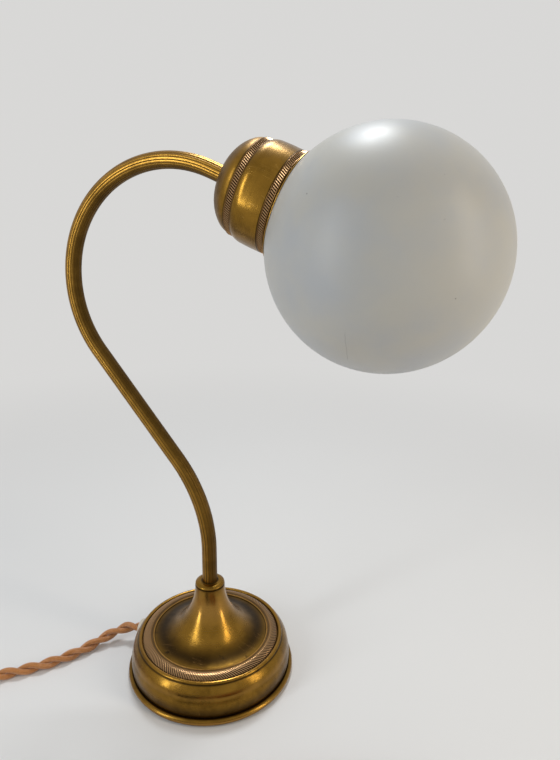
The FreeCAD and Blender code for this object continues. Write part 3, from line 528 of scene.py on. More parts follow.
@dataclass(frozen=True)
class BraidedTextile:
    """Fine braided yarn over one core of the flex, drawn on the core's own UV map, with painted shade between the
    yarns.
    """

    name: str = "flex_textile"
    light: Colour = (0.70, 0.27, 0.055)
    shade: Colour = (0.15, 0.045, 0.010)
    faded: Colour = (0.68, 0.33, 0.15)
    fluff: Colour = (0.84, 0.55, 0.26)
    carriers: int = 8
    pitch: float = 5.2
    yarn_depth: float = 0.3
    fray_scale: float = 1500.0
    wear_scale: float = 160.0

    def material(self) -> bpy.types.Material:
        """Builds the material.

        Returns:
            The finished material.
        """
        bench = ShaderBench(bpy.data.materials.new(self.name))
        u, v, _ = bench.split(bench.coordinates("UV"))
        around = u * (math.tau * self.carriers)
        along = v * (math.tau * self.carriers / (self.pitch * MM) / 2.0)
        one = (around + along).sine()
        two = (around - along).sine()
        over = (one * two).step(-0.6, 0.6)
        yarn = (abs(one) * over + abs(two) * (1.0 - over)).clamped()
        lengthwise = bench.vector(u * 0.012, v, 0.0)
        fray, worn = (bench.noise(lengthwise, scale, 3.0, 0.6) for scale in (self.fray_scale, self.wear_scale))
        height = yarn * 0.7 + fray * 0.3
        # Painted shade in the low gaps between the yarns, and the lit colour on their crests.
        colour = bench.blend(height.step(0.25, 0.8), self.shade, self.light)
        colour = bench.blend(worn.step(0.48, 0.62) * 0.45, colour, self.faded)
        colour = bench.blend((fray - 0.5).step(0.04, 0.22) * 0.4, colour, self.fluff)
        relief = bench.bump(height, self.yarn_depth * MM)
        return bench.finish(Base_Color=colour, Roughness=0.82 - yarn * 0.12, Normal=relief, Sheen_Weight=0.35,
                            Sheen_Roughness=0.5)


@dataclass(frozen=True)
class PlainStuff:
    """A homogeneous material with mottling, a fine skin and some wear."""

    name: str
    colour: Colour
    mottle: Colour
    roughness: float = 0.5
    metallic: float = 0.0
    cloud_scale: float = 120.0
    skin_scale: float = 1500.0
    skin_depth: float = 0.03
    contrast: float = 0.5
    coat: float = 0.0
    sheen: float = 0.0

    def material(self) -> bpy.types.Material:
        """Builds the material.

        Returns:
            The finished material.
        """
        bench = ShaderBench(bpy.data.materials.new(self.name))
        place = bench.coordinates()
        cloud = bench.noise(place, self.cloud_scale, 4.0, 0.6)
        skin = bench.noise(place, self.skin_scale, 3.0, 0.6)
        share = (cloud * 0.7 + skin * 0.3).step(0.5 - self.contrast / 2, 0.5 + self.contrast / 2)
        colour = bench.blend(share, self.colour, self.mottle)
        rough = (cloud - 0.5) * 0.15 + (skin - 0.5) * 0.15 + self.roughness
        relief = bench.bump(skin * 0.7 + cloud * 0.3, self.skin_depth * MM, 0.8)
        return bench.finish(Base_Color=colour, Roughness=rough.clamped(), Metallic=self.metallic, Normal=relief,
                            Coat_Weight=self.coat, Coat_Roughness=0.2, Sheen_Weight=self.sheen)


def three_point_arc(first: Point, middle: Point, last: Point, steps: int) -> list[Point]:
    """Points of the circle arc through three points.

    Args:
        first: where it starts.
        middle: a point on the way.
        last: where it ends.
        steps: how many chords it gets.

    Returns:
        The points after the first one.
    """
    (ax, ay), (bx, by), (cx, cy) = first, middle, last
    d = 2 * (ax * (by - cy) + bx * (cy - ay) + cx * (ay - by))
    aa, bb, cc = ax * ax + ay * ay, bx * bx + by * by, cx * cx + cy * cy
    ux = (aa * (by - cy) + bb * (cy - ay) + cc * (ay - by)) / d
    uy = (aa * (cx - bx) + bb * (ax - cx) + cc * (bx - ax)) / d
    radius = math.hypot(ax - ux, ay - uy)
    start = math.atan2(ay - uy, ax - ux)
    sweep = (math.atan2(cy - uy, cx - ux) - start) % math.tau
    through = (math.atan2(by - uy, bx - ux) - start) % math.tau
    if through > sweep:
        sweep -= math.tau
    angles = [start + sweep * k / steps for k in range(1, steps + 1)]
    return [(ux + radius * math.cos(a), uy + radius * math.sin(a)) for a in angles]


class Section:
    """Half section of a turned piece, in millimetres from its axis and along it."""

    def __init__(self, r: float, z: float) -> None:
        """Starts the section at one point."""
        self.points: list[Point] = [(r, z)]

    def to(self, *points: Point) -> "Section":
        """Straight on to each point."""
        self.points.extend(points)
        return self

    def arc(self, middle: Point, end: Point, steps: int = 8) -> "Section":
        """Along an arc through one point to another."""
        self.points.extend(three_point_arc(self.points[-1], middle, end, steps))
        return self

    def close(self) -> "Section":
        """Back to the start."""
        self.points.append(self.points[0])
        return self


def select_only(made: bpy.types.Object | None) -> None:
    """Leaves object mode, clears the selection and selects one object."""
    if bpy.context.object is not None and bpy.context.object.mode != "OBJECT":
        bpy.ops.object.mode_set(mode="OBJECT")
    bpy.ops.object.select_all(action="DESELECT")
    if made is not None:
        made.select_set(True)
    bpy.context.view_layer.objects.active = made


def pick_points(made: bpy.types.Object, wanted: Iterable[int]) -> None:
    """Selects some vertices of an object in edit mode, and nothing else.

    Args:
        made: the object.
        wanted: numbers of its vertices.
    """
    bpy.ops.mesh.select_mode(type="VERT")
    bpy.ops.mesh.select_all(action="DESELECT")
    bpy.ops.object.mode_set(mode="OBJECT")
    for index in wanted:
        made.data.vertices[index].select = True
    bpy.ops.object.mode_set(mode="EDIT")


def start_at(name: str, point: Vector) -> bpy.types.Object:
    """Starts a mesh with one vertex and stays in edit mode.

    Args:
        name: the object's name.
        point: where the vertex lies, in metres.

    Returns:
        The new object.
    """
    select_only(None)
    bpy.ops.mesh.primitive_plane_add(size=0.001, location=point)
    made = bpy.context.object
    made.name = name
    bpy.ops.object.transform_apply(location=True, rotation=True, scale=True)
    bpy.ops.object.mode_set(mode="EDIT")
    bpy.ops.mesh.select_mode(type="VERT")
    bpy.ops.mesh.select_all(action="SELECT")
    bpy.ops.mesh.merge(type="CENTER")
    return made


def extrude_by(step: Vector) -> None:
    """Extrudes what is selected by a vector."""
    bpy.ops.mesh.extrude_region_move(TRANSFORM_OT_translate={"value": step})


def draw_line(name: str, path: Sequence[Vector]) -> bpy.types.Object:
    """Draws a line by extruding a vertex, and stays in edit mode.

    Args:
        name: the object's name.
        path: its points in metres.

    Returns:
        The new object.
    """
    made = start_at(name, path[0])
    for here, there in zip(path, path[1:]):
        extrude_by(there - here)
    return made


def spin_all(steps: int, angle: float, copies: bool = False) -> None:
    """Spins the whole mesh round Z.

    Args:
        steps: divisions, or copies.
        angle: the whole angle.
        copies: repeat the mesh instead of joining its turns with faces.
    """
    bpy.ops.mesh.select_all(action="SELECT")
    bpy.ops.mesh.spin(steps=steps, dupli=copies, angle=angle, center=(0, 0, 0), axis=(0, 0, 1))


def close_up(made: bpy.types.Object, angle: float = 32.0) -> bpy.types.Object:
    """Merges seams, turns faces outwards and smooths.

    Args:
        made: a mesh in edit mode.
        angle: edges sharper than this stay sharp, in degrees.

    Returns:
        The object, in object mode.
    """
    bpy.ops.mesh.select_all(action="SELECT")
    bpy.ops.mesh.remove_doubles(threshold=SAME_POINT)
    bpy.ops.mesh.normals_make_consistent(inside=False)
    bpy.ops.object.mode_set(mode="OBJECT")
    bpy.ops.object.shade_smooth_by_angle(angle=math.radians(angle))
    return made


def soften(made: bpy.types.Object, width: float) -> bpy.types.Object:
    """Rounds the sharp edges with a bevel.

    Args:
        made: the object.
        width: size of the bevel in millimetres.

    Returns:
        The same object.
    """
    select_only(made)
    bevel = made.modifiers.new("soft_edges", "BEVEL")
    bevel.width = width * MM
    bevel.segments = 2
    bevel.limit_method = "ANGLE"
    bevel.angle_limit = math.radians(32.0)
    bevel.use_clamp_overlap = True
    bpy.ops.object.modifier_apply(modifier=bevel.name)
    bpy.ops.object.shade_smooth_by_angle(angle=math.radians(60.0))
    return made


def turn_section(name: str, section: Section, steps: int = 160) -> bpy.types.Object:
    """Draws a half section by extruding a vertex and spins it round Z.

    Args:
        name: the object's name.
        section: the outline in millimetres.
        steps: divisions round the axis.

    Returns:
        The turned piece about the world's Z axis.
    """
    made = draw_line(name, [Vector((r * MM, 0.0, z * MM)) for r, z in section.points])
    spin_all(steps, math.tau)
    return close_up(made)


def settle(made: bpy.types.Object, place: Matrix) -> bpy.types.Object:
    """Moves a finished piece to its place and puts that place into its mesh."""
    select_only(made)
    made.matrix_world = place
    bpy.ops.object.transform_apply(location=True, rotation=True, scale=True)
    return made


def dress(made: bpy.types.Object, finish: bpy.types.Material) -> None:
    """Gives an object one material."""
    made.data.materials.clear()
    made.data.materials.append(finish)


def install(made: bpy.types.Object, body: str, nodes: Iterable[str],
            finish: bpy.types.Material) -> None:
    """Dresses a piece and hands it to the frame.

    Args:
        made: the piece.
        body: the body that it moves with.
        nodes: CAD nodes that it stands for.
        finish: its material.
    """
    dress(made, finish)
    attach(made, body)
    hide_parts(*nodes)
    LOG.info("%s: %d faces on %s", made.name, len(made.data.polygons), body)


@dataclass(frozen=True)
class Teeth:
    """Slanted teeth on some rows of a turned piece's section.

    One tooth is drawn with its rows turned by the slant, spun over its own width, pinched at
    both sides, and then repeated round the axis.
    """

    number: int
    slant: float
    depth: float
    rows: Sequence[int]

    def cut(self, name: str, section: Section) -> bpy.types.Object:
        """Models the toothed piece.

        Args:
            name: the object's name.
            section: its closed outline in millimetres.

        Returns:
            The piece about the world's Z axis.
        """
        pitch = math.tau / self.number
        first, last, end = self.rows[0], self.rows[-1], len(section.points) - 1
        path = []
        for k, (r, z) in enumerate(section.points):
            share = min(max((k - first) / (last - first), 0.0), 1.0)
            if k > last:
                share = 1.0 - (k - last) / (end - last)
            turn = share * self.slant * pitch
            path.append(Vector((r * MM * math.cos(turn), r * MM * math.sin(turn), z * MM)))
        made = draw_line(name, path)
        spin_all(4, pitch)
        bpy.ops.mesh.select_all(action="SELECT")
        bpy.ops.mesh.remove_doubles(threshold=SAME_POINT / 10)
        self.pinch(made, [path[k] for k in self.rows])
        spin_all(self.number, math.tau, copies=True)
        return close_up(made, 28.0)

    def pinch(self, made: bpy.types.Object, row: Sequence[Vector]) -> None:
        """Draws the sides of one tooth in towards the axis.

        Args:
            made: the tooth, in edit mode.
            row: points of its first edge that are pinched.
        """
        radius = math.hypot(row[0].x, row[0].y)
        for column, share in ((0, 1.0), (1, 0.35), (3, 0.35), (4, 1.0)):
            turn = Matrix.Rotation(-math.tau / self.number * column / 4, 3, "Z")
            wanted = [turn @ point for point in row]
            made.update_from_editmode()
            found = [v.index for v in made.data.vertices
                     if any((v.co - spot).length < 2 * SAME_POINT for spot in wanted)]
            pick_points(made, found)
            factor = 1 - share * self.depth * MM / radius
            bpy.ops.transform.resize(value=(factor, factor, 1.0), center_override=(0, 0, 0))


BASE_TEETH = Teeth(168, -2.8, 0.5, range(3, 12))
REEDS = 16


@dataclass
class SpunBase:
    """Rolled-rim brass base with its milled ring and the collar at the foot of the neck."""

    shell_t: float = 1.1
    rim_r: float = 57.4
    rim_bead_r: float = 2.2
    rim_lift: float = 0.8
    wall_foot_r: float = 54.3
    wall_belly: Point = (55.0, 11.0)
    wall_top: Point = (54.0, 17.5)
    shoulder: Point = (52.6, 22.6)
    bead_r: float = 1.5
    bead_mid: Point = (48.3, 26.4)
    ring_seat_z: float = 25.2
    ring_outer_r: float = 46.6
    ring_inner_r: float = 39.8
    ledge_r: float = 38.8
    ledge_z: float = 29.0
    dish_edge_z: float = 28.4
    dish_curve_r: float = 27.6
    throat_curve_r: float = 42.0
    throat_r: float = 10.0
    join: float = math.radians(45)
    hole_r: float = 5.3
    ring_h: float = 4.1
    ring_side_h: float = 1.8
    band_inner_r: float = 41.8
    collar_r: float = 10.4
    collar_h: float = 3.0
    collar_bore: float = 5.05
    clearance: float = 0.05
    brass: AgedBrass = AgedBrass(
        "base_brass", patina=0.7, scratches=0.25, wear=(0.46, 0.25, 0.085), line_depth=0.05,
        # Dirt and painted shade in the narrow joints; the two wide rings over the dish and the lower wall are
        # painted shade.
        creases=((54.6, 5.2, 1.8, 0.95), (49.9, 26.3, 1.2, 0.9), (46.8, 26.6, 1.3, 0.95),
                 (38.7, 28.7, 1.3, 0.95), (10.0, 66.1, 1.1, 0.95), (5.0, 68.9, 2.0, 0.9),
                 (32.5, 29.5, 13.0, 0.92), (54.6, 8.5, 7.0, 0.6)),
        # Wear and painted highlights on the rim, the bead and the ledge; the wide rings on the shoulder and the
        # trumpet are painted highlights.
        polished=((57.4, 3.0, 1.6, 0.7), (48.3, 27.9, 0.9, 0.35), (39.3, 29.0, 0.8, 0.6),
                  (53.9, 19.6, 3.2, 0.25), (11.5, 54.0, 16.0, 0.45)),
    )
    milling: AgedBrass = AgedBrass(
        "base_milling", bright=(0.31, 0.172, 0.068), wear=(0.74, 0.47, 0.26), roughness=0.27, patina=0.45,
        scratches=0.1, mottling=0.5,
        # Dirt and painted shade in the joints at both edges of the ring.
        creases=((46.9, 26.0, 1.1, 0.95), (40.6, 29.3, 1.6, 0.8)),
        milling=Milling(BASE_TEETH.number, BASE_TEETH.slant, Run.INWARDS, 46.55, 4.66),
    )

    def __post_init__(self) -> None:
        """Works out the two arcs of the trumpet."""
        half = self.join
        dish, throat = self.dish_curve_r, self.throat_curve_r
        self.dish_centre_r = self.throat_r + throat * (1 - math.cos(half)) + dish * math.cos(half)
        self.dish_end = math.asin((self.dish_centre_r - self.ledge_r) / dish)
        self.dish_centre_z = self.dish_edge_z + dish * math.cos(self.dish_end)
        self.throat_z = self.dish_centre_z - dish * math.cos(half) + throat * math.sin(half)

    def dish(self, angle: float, under: float = 0.0) -> Point:
        """A point of the dish's arc, or of the sheet's inside under it."""
        reach = self.dish_curve_r + under
        return self.dish_centre_r - reach * math.sin(angle), self.dish_centre_z - reach * math.cos(angle)

    def throat(self, angle: float, under: float = 0.0) -> Point:
        """A point of the throat's arc, or of the sheet's inside under it."""
        reach = self.throat_curve_r + under
        middle = self.throat_r + self.throat_curve_r
        return middle - reach * math.cos(angle), self.throat_z - reach * math.sin(angle)

    def shell(self) -> bpy.types.Object:
        """Turns the shell as one closed sheet of even thickness."""
        half = self.join
        middle = (self.dish_end + half) / 2
        rim_mid_r = self.rim_r - self.rim_bead_r
        rim_mid_z = self.rim_lift + self.rim_bead_r
        foot_z = rim_mid_z + math.sqrt(self.rim_bead_r ** 2 - (rim_mid_r - self.wall_foot_r) ** 2)
        bead_r, bead_z = self.bead_mid
        seat_z = self.ring_seat_z
        t = self.shell_t
        top = math.asin(t / (self.throat_curve_r + t))
        s = Section(rim_mid_r, self.rim_lift)
        s.arc((self.rim_r, rim_mid_z), (self.wall_foot_r, foot_z), 14)
        s.arc(self.wall_belly, self.wall_top, 10)
        s.arc(self.shoulder, (bead_r + self.bead_r, bead_z), 14)
        s.arc((bead_r, bead_z + self.bead_r), (bead_r - self.bead_r, bead_z), 14)
        s.to((bead_r - self.bead_r, seat_z), (self.ring_inner_r - self.clearance, seat_z))
        s.to((self.ring_inner_r - self.clearance, self.ledge_z), (self.ledge_r, self.ledge_z))
        s.to((self.ledge_r, self.dish_edge_z))
        s.arc(self.dish(middle), self.dish(half), 16)
        s.arc(self.throat(half / 2), self.throat(0), 22)
        s.to((self.hole_r, self.throat_z), (self.hole_r, self.throat_z - t))
        s.to((self.throat(top, t)[0], self.throat_z - t))
        s.arc(self.throat((top + half) / 2, t), self.throat(half, t), 12)
        s.arc(self.dish(middle, t), self.dish(self.dish_end, t), 10)
        s.to((self.dish(self.dish_end, t)[0], seat_z - t), (bead_r, seat_z - t))
        s.arc((self.shoulder[0] - t, self.shoulder[1] - t), (self.wall_top[0] - t, self.wall_top[1]), 8)
        s.to((self.wall_foot_r - t, self.wall_belly[1]), (self.wall_foot_r - t, rim_mid_z)).close()
        return soften(turn_section("spun_shell", s, 192), 0.18)

    def milled_ring(self) -> bpy.types.Object:
        """Models one slanted tooth of the crowned band and repeats it round the ring."""
        top = self.ring_seat_z + self.ring_h
        side = self.ring_seat_z + self.ring_side_h
        outer = self.ring_outer_r - self.clearance
        crown = ((outer + self.band_inner_r) / 2 + 0.35, side + (top - side) * 0.72)
        s = Section(self.ring_inner_r, self.ring_seat_z)
        s.to((outer - 0.15, self.ring_seat_z), (outer - 0.15, side), (outer, side + 0.12))
        s.arc(crown, (self.band_inner_r, top), 9)
        s.to((self.ring_inner_r + 0.3, top), (self.ring_inner_r, top - 0.3)).close()
        return BASE_TEETH.cut("milled_ring_base", s)

    def collar(self) -> bpy.types.Object:
        """Turns the low rounded collar."""
        z0 = self.throat_z
        r = self.collar_r
        s = Section(self.collar_bore, z0).to((r - 1.2, z0)).arc((r - 0.55, z0 + 0.95), (r - 1.4, z0 + 1.95), 10)
        s.arc((r - 2.5, z0 + 2.5), (r - 3.8, z0 + 2.65), 6)
        s.arc((r - 4.6, z0 + 2.75), (r - 5.1, z0 + self.collar_h), 4)
        s.to((self.collar_bore, z0 + self.collar_h - 0.1)).close()
        return turn_section("foot_collar", s, 128)

    def build(self) -> None:
        """Builds the three pieces and hands them over."""
        brass = self.brass.material()
        install(self.shell(), "lamp", ["base_shell"], brass)
        install(self.milled_ring(), "lamp", ["milled_base_ring"], self.milling.material())
        install(self.collar(), "lamp", ["neck_collar"], brass)


@dataclass
class SwanNeck:
    """The S-shaped tube with fine lengthwise reeds."""

    reed_depth: float = 0.24
    reed_profile: tuple[float, ...] = (1.0, 0.42, 0.16, 0.03, 0.0, 0.03, 0.16, 0.42)
    tail_z: float = 11.5
    foot_z: float = 65.0
    riser_steps: tuple[float, ...] = (8.0, 8.0, 11.0)
    bend_r: float = 100.0
    bend_rings: int = 36
    lean: float = math.radians(39.0)
    lean_length: float = 86.0
    lean_rings: int = 4
    crown_r: float = 72.0
    crown_rings: int = 72
    reach: float = 14.7
    brass: AgedBrass = AgedBrass("neck_brass", grain=Grain.DRAWN, bright=(0.40, 0.21, 0.035), reeds=REEDS,
                                 line_depth=0.006, mottling=0.1, roughness=0.25, scratches=0.05)
    samples: int = 400

    def __post_init__(self) -> None:
        """Works out the directions along the neck and the angle of its crown."""
        self.riser = self.foot_z + sum(self.riser_steps)
        self.along = Vector((-math.sin(self.lean), 0, math.cos(self.lean)))
        self.inward = Vector((math.cos(self.lean), 0, math.sin(self.lean)))
        self.out = Vector((math.cos(GALLERY_TILT), 0, -math.sin(GALLERY_TILT)))
        self.crown = math.pi / 2 + self.lean + GALLERY_TILT

    def build(self) -> None:
        """Extrudes and spins the reeded ring along the neck."""
        foot = Vector((0, 0, self.foot_z)) * MM
        select_only(None)
        corners = REEDS * len(self.reed_profile)
        bpy.ops.mesh.primitive_circle_add(vertices=corners, radius=TUBE_R * MM, location=foot)
        made = bpy.context.object
        made.name = "reeded_tube"
        bpy.ops.object.transform_apply(location=True, rotation=True, scale=True)
        self.press_reeds(made, foot)
        for step in self.riser_steps:
            extrude_by(Vector((0, 0, step * MM)))
        self.bend(self.lean, Vector((-self.bend_r, 0, self.riser)), self.bend_rings)
        for _ in range(self.lean_rings):
            extrude_by(self.along * (self.lean_length / self.lean_rings * MM))
        bend_end = Vector((0, 0, self.riser)) + (self.inward - Vector((1, 0, 0))) * self.bend_r
        crown_centre = bend_end + self.along * self.lean_length + self.inward * self.crown_r
        self.bend(-self.crown, crown_centre, self.crown_rings)
        extrude_by(self.out * (self.reach * MM))
        bpy.ops.mesh.edge_face_add()
        self.add_tail(made, foot)
        close_up(made, 50.0)
        unroll_tube(made, [self.axis_point(k / self.samples) for k in range(self.samples + 1)])
        install(made, "lamp", ["swan_neck"], self.brass.material())

    def press_reeds(self, made: bpy.types.Object, foot: Vector) -> None:
        """Presses the valleys between the reeds into the first ring.

        Args:
            made: the ring.
            foot: its middle.
        """
        bpy.ops.object.mode_set(mode="EDIT")
        width = len(self.reed_profile)
        for offset, share in enumerate(self.reed_profile):
            pick_points(made, range(offset, REEDS * width, width))
            factor = 1 - share * self.reed_depth / TUBE_R
            bpy.ops.transform.resize(value=(factor, factor, 1.0), center_override=foot)
        bpy.ops.mesh.select_all(action="SELECT")

    @staticmethod
    def bend(angle: float, centre: Vector, steps: int) -> None:
        """Spins the open end about a centre in millimetres, by an angle that is positive away from +X."""
        bpy.ops.mesh.spin(steps=steps, dupli=False, angle=angle, center=centre * MM, axis=(0, 1, 0))

    def add_tail(self, made: bpy.types.Object, foot: Vector) -> None:
        """Extrudes the hidden tail down through the base.

        Args:
            made: the neck in edit mode.
            foot: middle of the lowest ring.
        """
        made.update_from_editmode()
        pick_points(made, [v.index for v in made.data.vertices
                           if abs(v.co.z - foot.z) < SAME_POINT and abs(v.co.x) < 4 * TUBE_R * MM])
        extrude_by(Vector((0, 0, (self.tail_z - self.foot_z) * MM)))
        bpy.ops.mesh.edge_face_add()

    def axis_point(self, share: float) -> Vector:
        """A point of the tube's centreline.

        Args:
            share: 0 at the tail and 1 at the gallery.

        Returns:
            The point in metres.
        """
        lengths = (self.riser - self.tail_z, self.bend_r * self.lean, self.lean_length,
                   self.crown_r * self.crown, self.reach)
        s = share * sum(lengths)
        if s <= lengths[0]:
            return Vector((0, 0, self.tail_z + s)) * MM
        s -= lengths[0]
        a = min(s / self.bend_r, self.lean)
        here = Vector((-self.bend_r * (1 - math.cos(a)), 0, self.riser + self.bend_r * math.sin(a)))
        s = max(s - lengths[1], 0.0)
        here += self.along * min(s, self.lean_length)
        s = max(s - self.lean_length, 0.0)
        spoke = Matrix.Rotation(min(s / self.crown_r, self.crown), 3, "Y") @ (-self.inward)
        here += (self.inward + spoke) * self.crown_r
        s = max(s - lengths[3], 0.0)
        return (here + self.out * s) * MM


def travelled(line: Sequence[Vector]) -> list[float]:
    """The way from the start of a line to each of its points."""
    return list(accumulate(((there - here).length for here, there in zip(line, line[1:])), initial=0.0))


def unroll_tube(made: bpy.types.Object, axis: Sequence[Vector]) -> None:
    """Gives a tube a UV map: metres round it and metres along its centreline.

    Args:
        made: the tube.
        axis: points of its centreline in metres, from one end to the other.
    """
    lengths = travelled(axis)
    nearest: list[tuple[float, float]] = []
    last = len(axis) - 1
    places = KDTree(len(axis))
    for k, point in enumerate(axis):
        places.insert(point, k)
    places.balance()
    for vertex in made.data.vertices:
        best = places.find(vertex.co)[1]
        before, after = axis[max(best - 1, 0)], axis[min(best + 1, last)]
        ahead = (after - before).normalized()
        away = vertex.co - axis[best]
        along = lengths[best] + away.dot(ahead)
        side = Vector((0, 1, 0))
        up = ahead.cross(side)
        nearest.append((math.atan2(away.dot(side), away.dot(up)) / math.tau, along))
    layer = made.data.uv_layers[0] if made.data.uv_layers else made.data.uv_layers.new(name="unrolled")
    for polygon in made.data.polygons:
        turns = [nearest[made.data.loops[k].vertex_index][0] for k in polygon.loop_indices]
        wrap = max(turns) - min(turns) > 0.5
        for k, turn in zip(polygon.loop_indices, turns):
            whole = turn + 1.0 if wrap and turn < 0 else turn
            layer.data[k].uv = (whole, nearest[made.data.loops[k].vertex_index][1])


@dataclass
class Gallery:
    """Domed cap, two milled rings, bellied drum and flared lip on the tilted axis of the globe."""

    globe_r: float = 63.5
    gap: float = 0.3
    sheet: float = 0.9
    lip_r: float = 31.3
    lip_length: float = 1.9
    ring_width: float = 4.0
    belly_length: float = 17.0
    belly_front_r: float = 28.9
    belly_rear_r: float = 27.9
    belly_r: float = 29.0
    belly_rise: float = 0.08
    shoulder_length: float = 5.0
    shoulder_drop: float = 0.32
    seat_r: float = 27.7
    ring_r: float = 28.9
    rear_ring_r: float = 27.7
    seat_depth: float = 1.2
    bead_w: float = 0.55
    bead_gap: float = 0.12
    teeth: Teeth = Teeth(132, 0.9, 0.42, range(9, 12))
    dome_r: float = 27.0
    dome_h: float = 14.3
    edge_r: float = 9.0
    flat_r: float = 8.0
    skirt: float = 6.3
    sleeve_depth: float = 4.5
    sleeve_wall: float = 0.8
    clearance: float = 0.05

    def __post_init__(self) -> None:
        """Works out the stations, as distances behind the globe's centre."""
        self.mouth = math.sqrt((self.globe_r + self.gap) ** 2 - self.lip_r ** 2)
        self.front = self.mouth + self.lip_length
        self.belly = self.front + self.ring_width
        self.rear = self.belly + self.belly_length
        self.dome = self.rear + self.ring_width
        self.apex = self.dome + self.dome_h
        turn = math.pi / 2 + GALLERY_TILT
        self.seat = Seat(GLOBE_CENTRE[0], GLOBE_CENTRE[2], turn)
        self.place = Matrix.Translation(Vector(GLOBE_CENTRE) * MM) @ Matrix.Rotation(turn, 4, "Y")

    def brass(self, name: str, **changes: object) -> bpy.types.Material:
        """A brass turned about the gallery's axis, with some fields of the finish changed."""
        return AgedBrass(name, seat=self.seat, **changes).material()

    def milled_brass(self, place: str, q: float) -> bpy.types.Material:
        """The brass of one milled ring, dark with dirt and painted shade between its teeth and bright with wear
        and painted highlights on their crests.

        Args:
            place: rear or front.
            q: the ring's far end, as a distance behind the globe's centre.

        Returns:
            The material.
        """
        edge = self.bead_w + self.bead_gap
        milling = Milling(self.teeth.number, self.teeth.slant, Run.ALONG, -q + edge, self.ring_width - 2 * edge)
        return self.brass(place + "_milling", scratches=0.1, roughness=0.27, bright=(0.25, 0.135, 0.05),
                          wear=(0.74, 0.47, 0.26), mottling=0.5, milling=milling)

    def cap(self) -> bpy.types.Object:
        """Turns the dome with its hidden skirt."""
        t = self.sheet
        reach = self.dome_r - self.edge_r - self.flat_r
        crown = (reach ** 2 + self.dome_h ** 2 - self.edge_r ** 2) / (2 * (self.dome_h - self.edge_r))
        join = math.atan2(reach, crown - self.dome_h)
        edge_mid = self.dome_r - self.edge_r
        skirt_r = self.rear_ring_r - self.seat_depth - self.sheet - self.clearance
        inner = skirt_r - t
        turn_in = math.asin((inner - edge_mid) / (self.edge_r - t))
        skirt_q = self.dome - self.skirt
        bore = TUBE_R + 0.02

        def top(angle: float, under: float = 0.0) -> Point:
            """A point of the wide arc round the tube, or of the sheet's inside under it."""
            radius = crown - under
            return self.flat_r + radius * math.sin(angle), -(self.apex - crown + radius * math.cos(angle))

        def edge(angle: float, under: float = 0.0) -> Point:
            """A point of the rounded edge, or of the sheet's inside under it."""
            radius = self.edge_r - under
            return edge_mid + radius * math.sin(angle), -(self.dome + radius * math.cos(angle))

        s = Section(bore, -self.apex + 0.25).to((TUBE_R + 0.3, -self.apex), (self.flat_r, -self.apex))
        s.arc(top(join / 2), top(join), 10).arc(edge((join + math.pi / 2) / 2), (self.dome_r, -self.dome), 14)
        s.to((skirt_r, -self.dome), (skirt_r, -skirt_q), (inner, -skirt_q), edge(turn_in, t))
        s.arc(edge((turn_in + join) / 2, t), top(join, t), 8).arc(top(join / 2, t), top(0.0, t), 6)
        s.to((bore, -(self.apex - t))).close()
        return soften(turn_section("gallery_dome", s, 144), 0.12)

    def drum(self) -> bpy.types.Object:
        """Turns the bellied drum with its two seats."""
        t = self.sheet
        seat_end = self.front + 0.5
        rear_seat = self.rear_ring_r - self.seat_depth
        turn = self.rear - self.shoulder_length
        shoulder = (self.belly_r - self.shoulder_drop, -(self.rear - self.shoulder_length * 0.42))
        belly = (self.belly_r + self.belly_rise, -(self.belly + turn) / 2)
        s = Section(rear_seat - t, -self.dome)
        s.to((rear_seat, -self.dome), (rear_seat, -self.rear), (self.belly_rear_r, -self.rear))
        s.arc(shoulder, (self.belly_r, -turn), 8).arc(belly, (self.belly_front_r, -self.belly), 8)
        s.to((self.seat_r, -self.belly), (self.seat_r, -seat_end), (self.seat_r - t, -seat_end))
        s.to((self.seat_r - t, -(self.belly + t)), (self.belly_front_r - t, -(self.belly + t)))
        s.arc((belly[0] - t, belly[1]), (self.belly_r - t, -turn), 5)
        s.arc((shoulder[0] - t, shoulder[1]), (self.belly_rear_r - t, -(self.rear - t)), 5)
        s.to((rear_seat - t, -(self.rear - t))).close()
        return soften(turn_section("bellied_drum", s, 144), 0.15)

    def ring(self, name: str, q: float, outer: float) -> bpy.types.Object:
        """A milled ring: two half-round beads with slanted teeth between them.

        Args:
            name: the object's name.
            q: its far end, as a distance behind the globe's centre.
            outer: its outer radius.

        Returns:
            The ring about Z, at its station.
        """
        w = self.bead_w
        edge = outer - w / 2
        crest = outer - 0.08
        bore = outer - self.seat_depth + self.clearance
        far, near = -q, -q + self.ring_width
        s = Section(bore, far).to((edge, far)).arc((outer, far + w / 2), (edge, far + w), 6)
        s.to((edge, far + w + 0.02), (crest, far + w + self.bead_gap), (crest, (far + near) / 2))
        s.to((crest, near - w - self.bead_gap), (edge, near - w - 0.02), (edge, near - w))
        s.arc((outer, near - w / 2), (edge, near), 6).to((bore, near)).close()
        return self.teeth.cut(name, s)

    def lip(self) -> bpy.types.Object:
        """Turns the flared mouth that hugs the globe, with its sleeve inside the drum."""
        sleeve_r = self.seat_r - self.sheet - self.clearance
        inner = sleeve_r - self.sleeve_wall
        sleeve_q = self.front + self.sleeve_depth
        seat = self.globe_r + self.gap
        mid_r = (inner + self.lip_r) / 2
        lip_foot = self.ring_r - self.bead_w
        flare = ((lip_foot + self.lip_r) / 2 - 0.1, -(self.mouth + self.lip_length * 0.62))
        s = Section(inner, -sleeve_q)
        s.to((sleeve_r, -sleeve_q), (sleeve_r, -self.front), (lip_foot, -self.front))
        s.arc(flare, (self.lip_r - 0.1, -(self.mouth + 0.5)), 8)
        s.arc((self.lip_r, -(self.mouth + 0.25)), (self.lip_r - 0.02, -self.mouth), 3)
        hug = [(r, -math.sqrt(seat ** 2 - r ** 2)) for r in (mid_r, inner)]
        s.arc(*hug, 10).close()
        return turn_section("flared_lip", s, 144)

